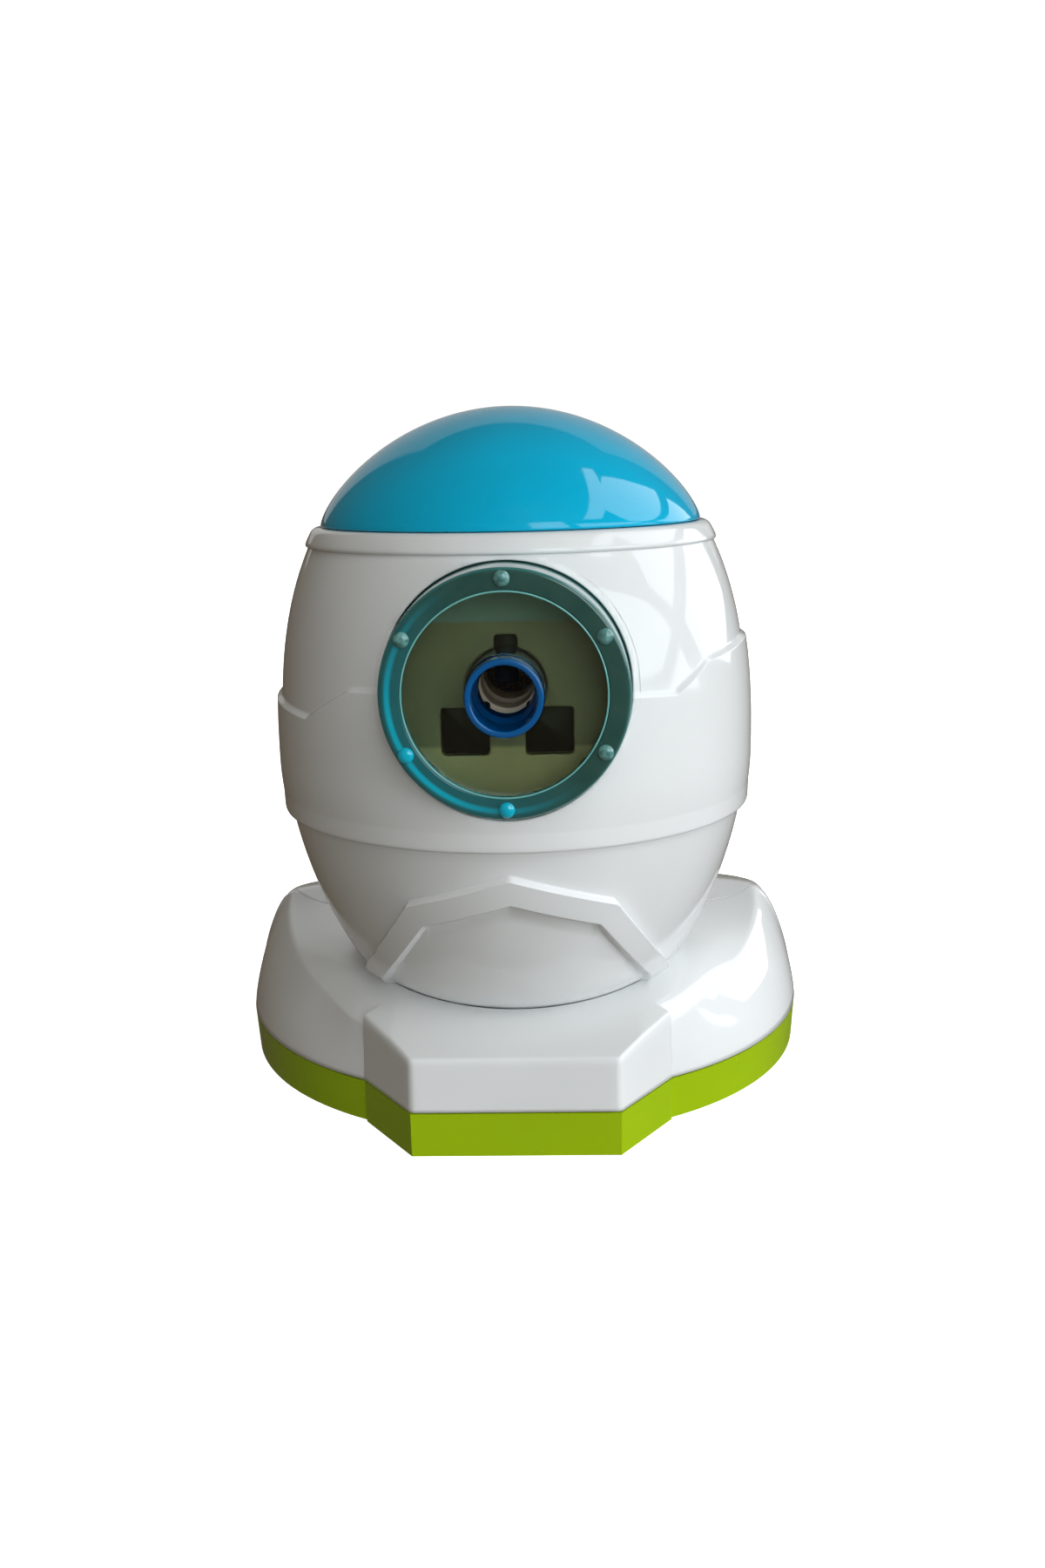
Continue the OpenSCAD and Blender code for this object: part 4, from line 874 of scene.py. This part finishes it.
pieceFrom("gripFace", gripFace(), "carrier_plastic", "faceplate", [], thick=grip["thick"], sharp=40,
          look=faceTintWithPaintedLight())
for jaw in jaws:
    pieceFrom("jaw" + jaw, jawBlock(grip[jaw], grip["keep"][jaw]), "black_jaw", jaw.lower() + "_grip",
              [jaw.lower() + "_jaw"], sharp=50)
print("faceplate made")


# floor and light
room = {"floorGlow": 0.95, "coveGlow": 1.0, "wallGlow": 0.35, "windowGlow": 2.9, "sky": (0.105, 0.082, 0.055),
        "floorRadius": 5.0, "wallRadius": 4.5, "wallHeights": (0.4, 4.5),  # metres
        "panes": [[(-48, 6), (-14, 8), (-4, 15), (-14, 24), (-48, 34)],  # (degrees round from the right, degrees up)
                  [(-10, 27), (0, 19.5), (9, 25), (30, 33), (41, 36), (36, 45), (29, 57), (-14, 55)],
                  [(35, 63), (35.5, 59), (-12, 58), (-26, 40), (-38, 43)],
                  [(6, 15), (14, 6), (36, 2), (49, 9), (47, 21), (42, 31), (32, 28), (14, 20)],
                  [(-12, 3), (8, 2), (-1, 11)],
                  [(-76, 8), (-54, 7), (-54, 42), (-76, 42)]]}


def litSheet(name, verts, faces, colour, glow, paint):  # a glowing surface that isn't part of the sharpener
    finish = Finish(name, Roughness=0.6, Specular_IOR_Level=0.2, Emission_Strength=glow)
    finish.shader.inputs["Emission Color"].default_value = (*colour, 1)
    finish.feed("Base Color", finish.mixed(finish.spread(finish.noise(300, 2), 0, 1), paint,
                                           tuple(channel * 0.985 for channel in paint)))
    mesh = bpy.data.meshes.new(name)
    mesh.from_pydata(verts, [], faces)
    for face in mesh.polygons:
        face.use_smooth = True
    sheet = bpy.data.objects.new(name, mesh)
    scene.collection.objects.link(sheet)
    mesh.materials.append(finish.material)
    return sheet


def makeFloor():  # a pale floor and the bright dome that closes the room
    turns, rings, reach = 48, (0.4, 1.2, 3.0, room["floorRadius"]), room["floorRadius"] - 0.02
    verts = [(r * math.sin(k * math.tau / turns), r * math.cos(k * math.tau / turns), 0.0)
             for r in rings for k in range(turns)] + [(0, 0, 0)]
    faces = [(k, (k + 1) % turns, len(verts) - 1) for k in range(turns)]
    for j in range(len(rings) - 1):  # wound the same way as the middle, or the floor shades in bands
        faces += [(j * turns + k, (j + 1) * turns + k, (j + 1) * turns + (k + 1) % turns, j * turns + (k + 1) % turns)
                  for k in range(turns)]
    floor = litSheet("floor", verts, faces, (1, 1, 1), room["floorGlow"], (0.88, 0.88, 0.88))
    floor.visible_diffuse = floor.visible_glossy = floor.visible_transmission = False
    steps = [k * math.pi / 2 / 12 for k in range(13)]
    verts, faces = spun([(reach * math.cos(t), reach * math.sin(t) - 0.01) for t in steps], turns, closed=False)
    cove = litSheet("cove", verts, faces, (1, 1, 1), room["coveGlow"], (0.9, 0.9, 0.9))
    cove.visible_diffuse = cove.visible_glossy = cove.visible_transmission = cove.visible_shadow = False


def makeBackWall():  # seen only in the reflections
    turns = [math.radians(58 + 4 * k) for k in range(17)]
    verts = [(room["wallRadius"] * math.cos(turn), room["wallRadius"] * math.sin(turn), z)
             for turn in turns for z in room["wallHeights"]]
    faces = [(2 * k, 2 * k + 2, 2 * k + 3, 2 * k + 1) for k in range(len(turns) - 1)]
    wall = litSheet("backWall", verts, faces, (0.95, 0.97, 1.0), room["wallGlow"], (0.9, 0.9, 0.9))
    wall.visible_camera = wall.visible_diffuse = wall.visible_transmission = wall.visible_shadow = False


def makeWindow():  # daylight from the right, through panes parted by crossed braces
    verts, faces = [], []
    for pane in room["panes"]:
        faces.append(tuple(range(len(verts), len(verts) + len(pane))))
        verts += [(math.cos(math.radians(turn)), math.sin(math.radians(turn)), math.tan(math.radians(up)))
                  for turn, up in pane]
    panes = litSheet("windowPanes", verts, faces, (0.85, 0.94, 1.0), room["windowGlow"], (0.1, 0.1, 0.1))
    panes.visible_camera = panes.visible_diffuse = panes.visible_transmission = False


lamps = {  # place and aim in metres, size, colour times watts
    "overhead": ((0.4, -0.75, 1.05), (0, 0, 0.04), (0.8, 0.8), (5.5, 5.7, 5.8)),
    "window": ((1.25, -0.15, 0.6), (0, 0, 0.06), (0.9, 0.8), (5.5, 6.0, 6.3)),
    "sill": ((1.2, -0.6, 0.13), (0, 0, 0.04), (0.9, 0.2), (14.3, 15.0, 15.8)),
    "front": ((0.3, -1.3, 0.4), (0, 0, 0.05), (1.0, 0.6), (7.4, 8.0, 8.3)),
    "behind": ((-0.25, 1.4, 0.55), (0, 0, 0.06), (1.0, 0.8), (13.0, 13.6, 14.0)),
}


def makeLamp(name, place, aim, size, power):
    data = bpy.data.lights.new(name, "AREA")
    data.shape = "RECTANGLE"
    data.size, data.size_y = size
    data.energy = max(power)
    data.color = [channel / max(power) for channel in power]
    lamp = bpy.data.objects.new(name, data)
    scene.collection.objects.link(lamp)
    lamp.location = place
    lamp.visible_glossy = False
    lamp.rotation_euler = (Vector(aim) - Vector(place)).to_track_quat("-Z", "Y").to_euler()


makeFloor()
makeBackWall()
makeWindow()
for name, setting in lamps.items():
    makeLamp(name, *setting)
scene.world = bpy.data.worlds.new("room")
scene.world.use_nodes = True
sky = scene.world.node_tree.nodes["Background"]
sky.inputs["Color"].default_value = (*room["sky"], 1)
sky.inputs["Strength"].default_value = 1
scene.view_settings.view_transform = "Standard"
print("floor and light placed")
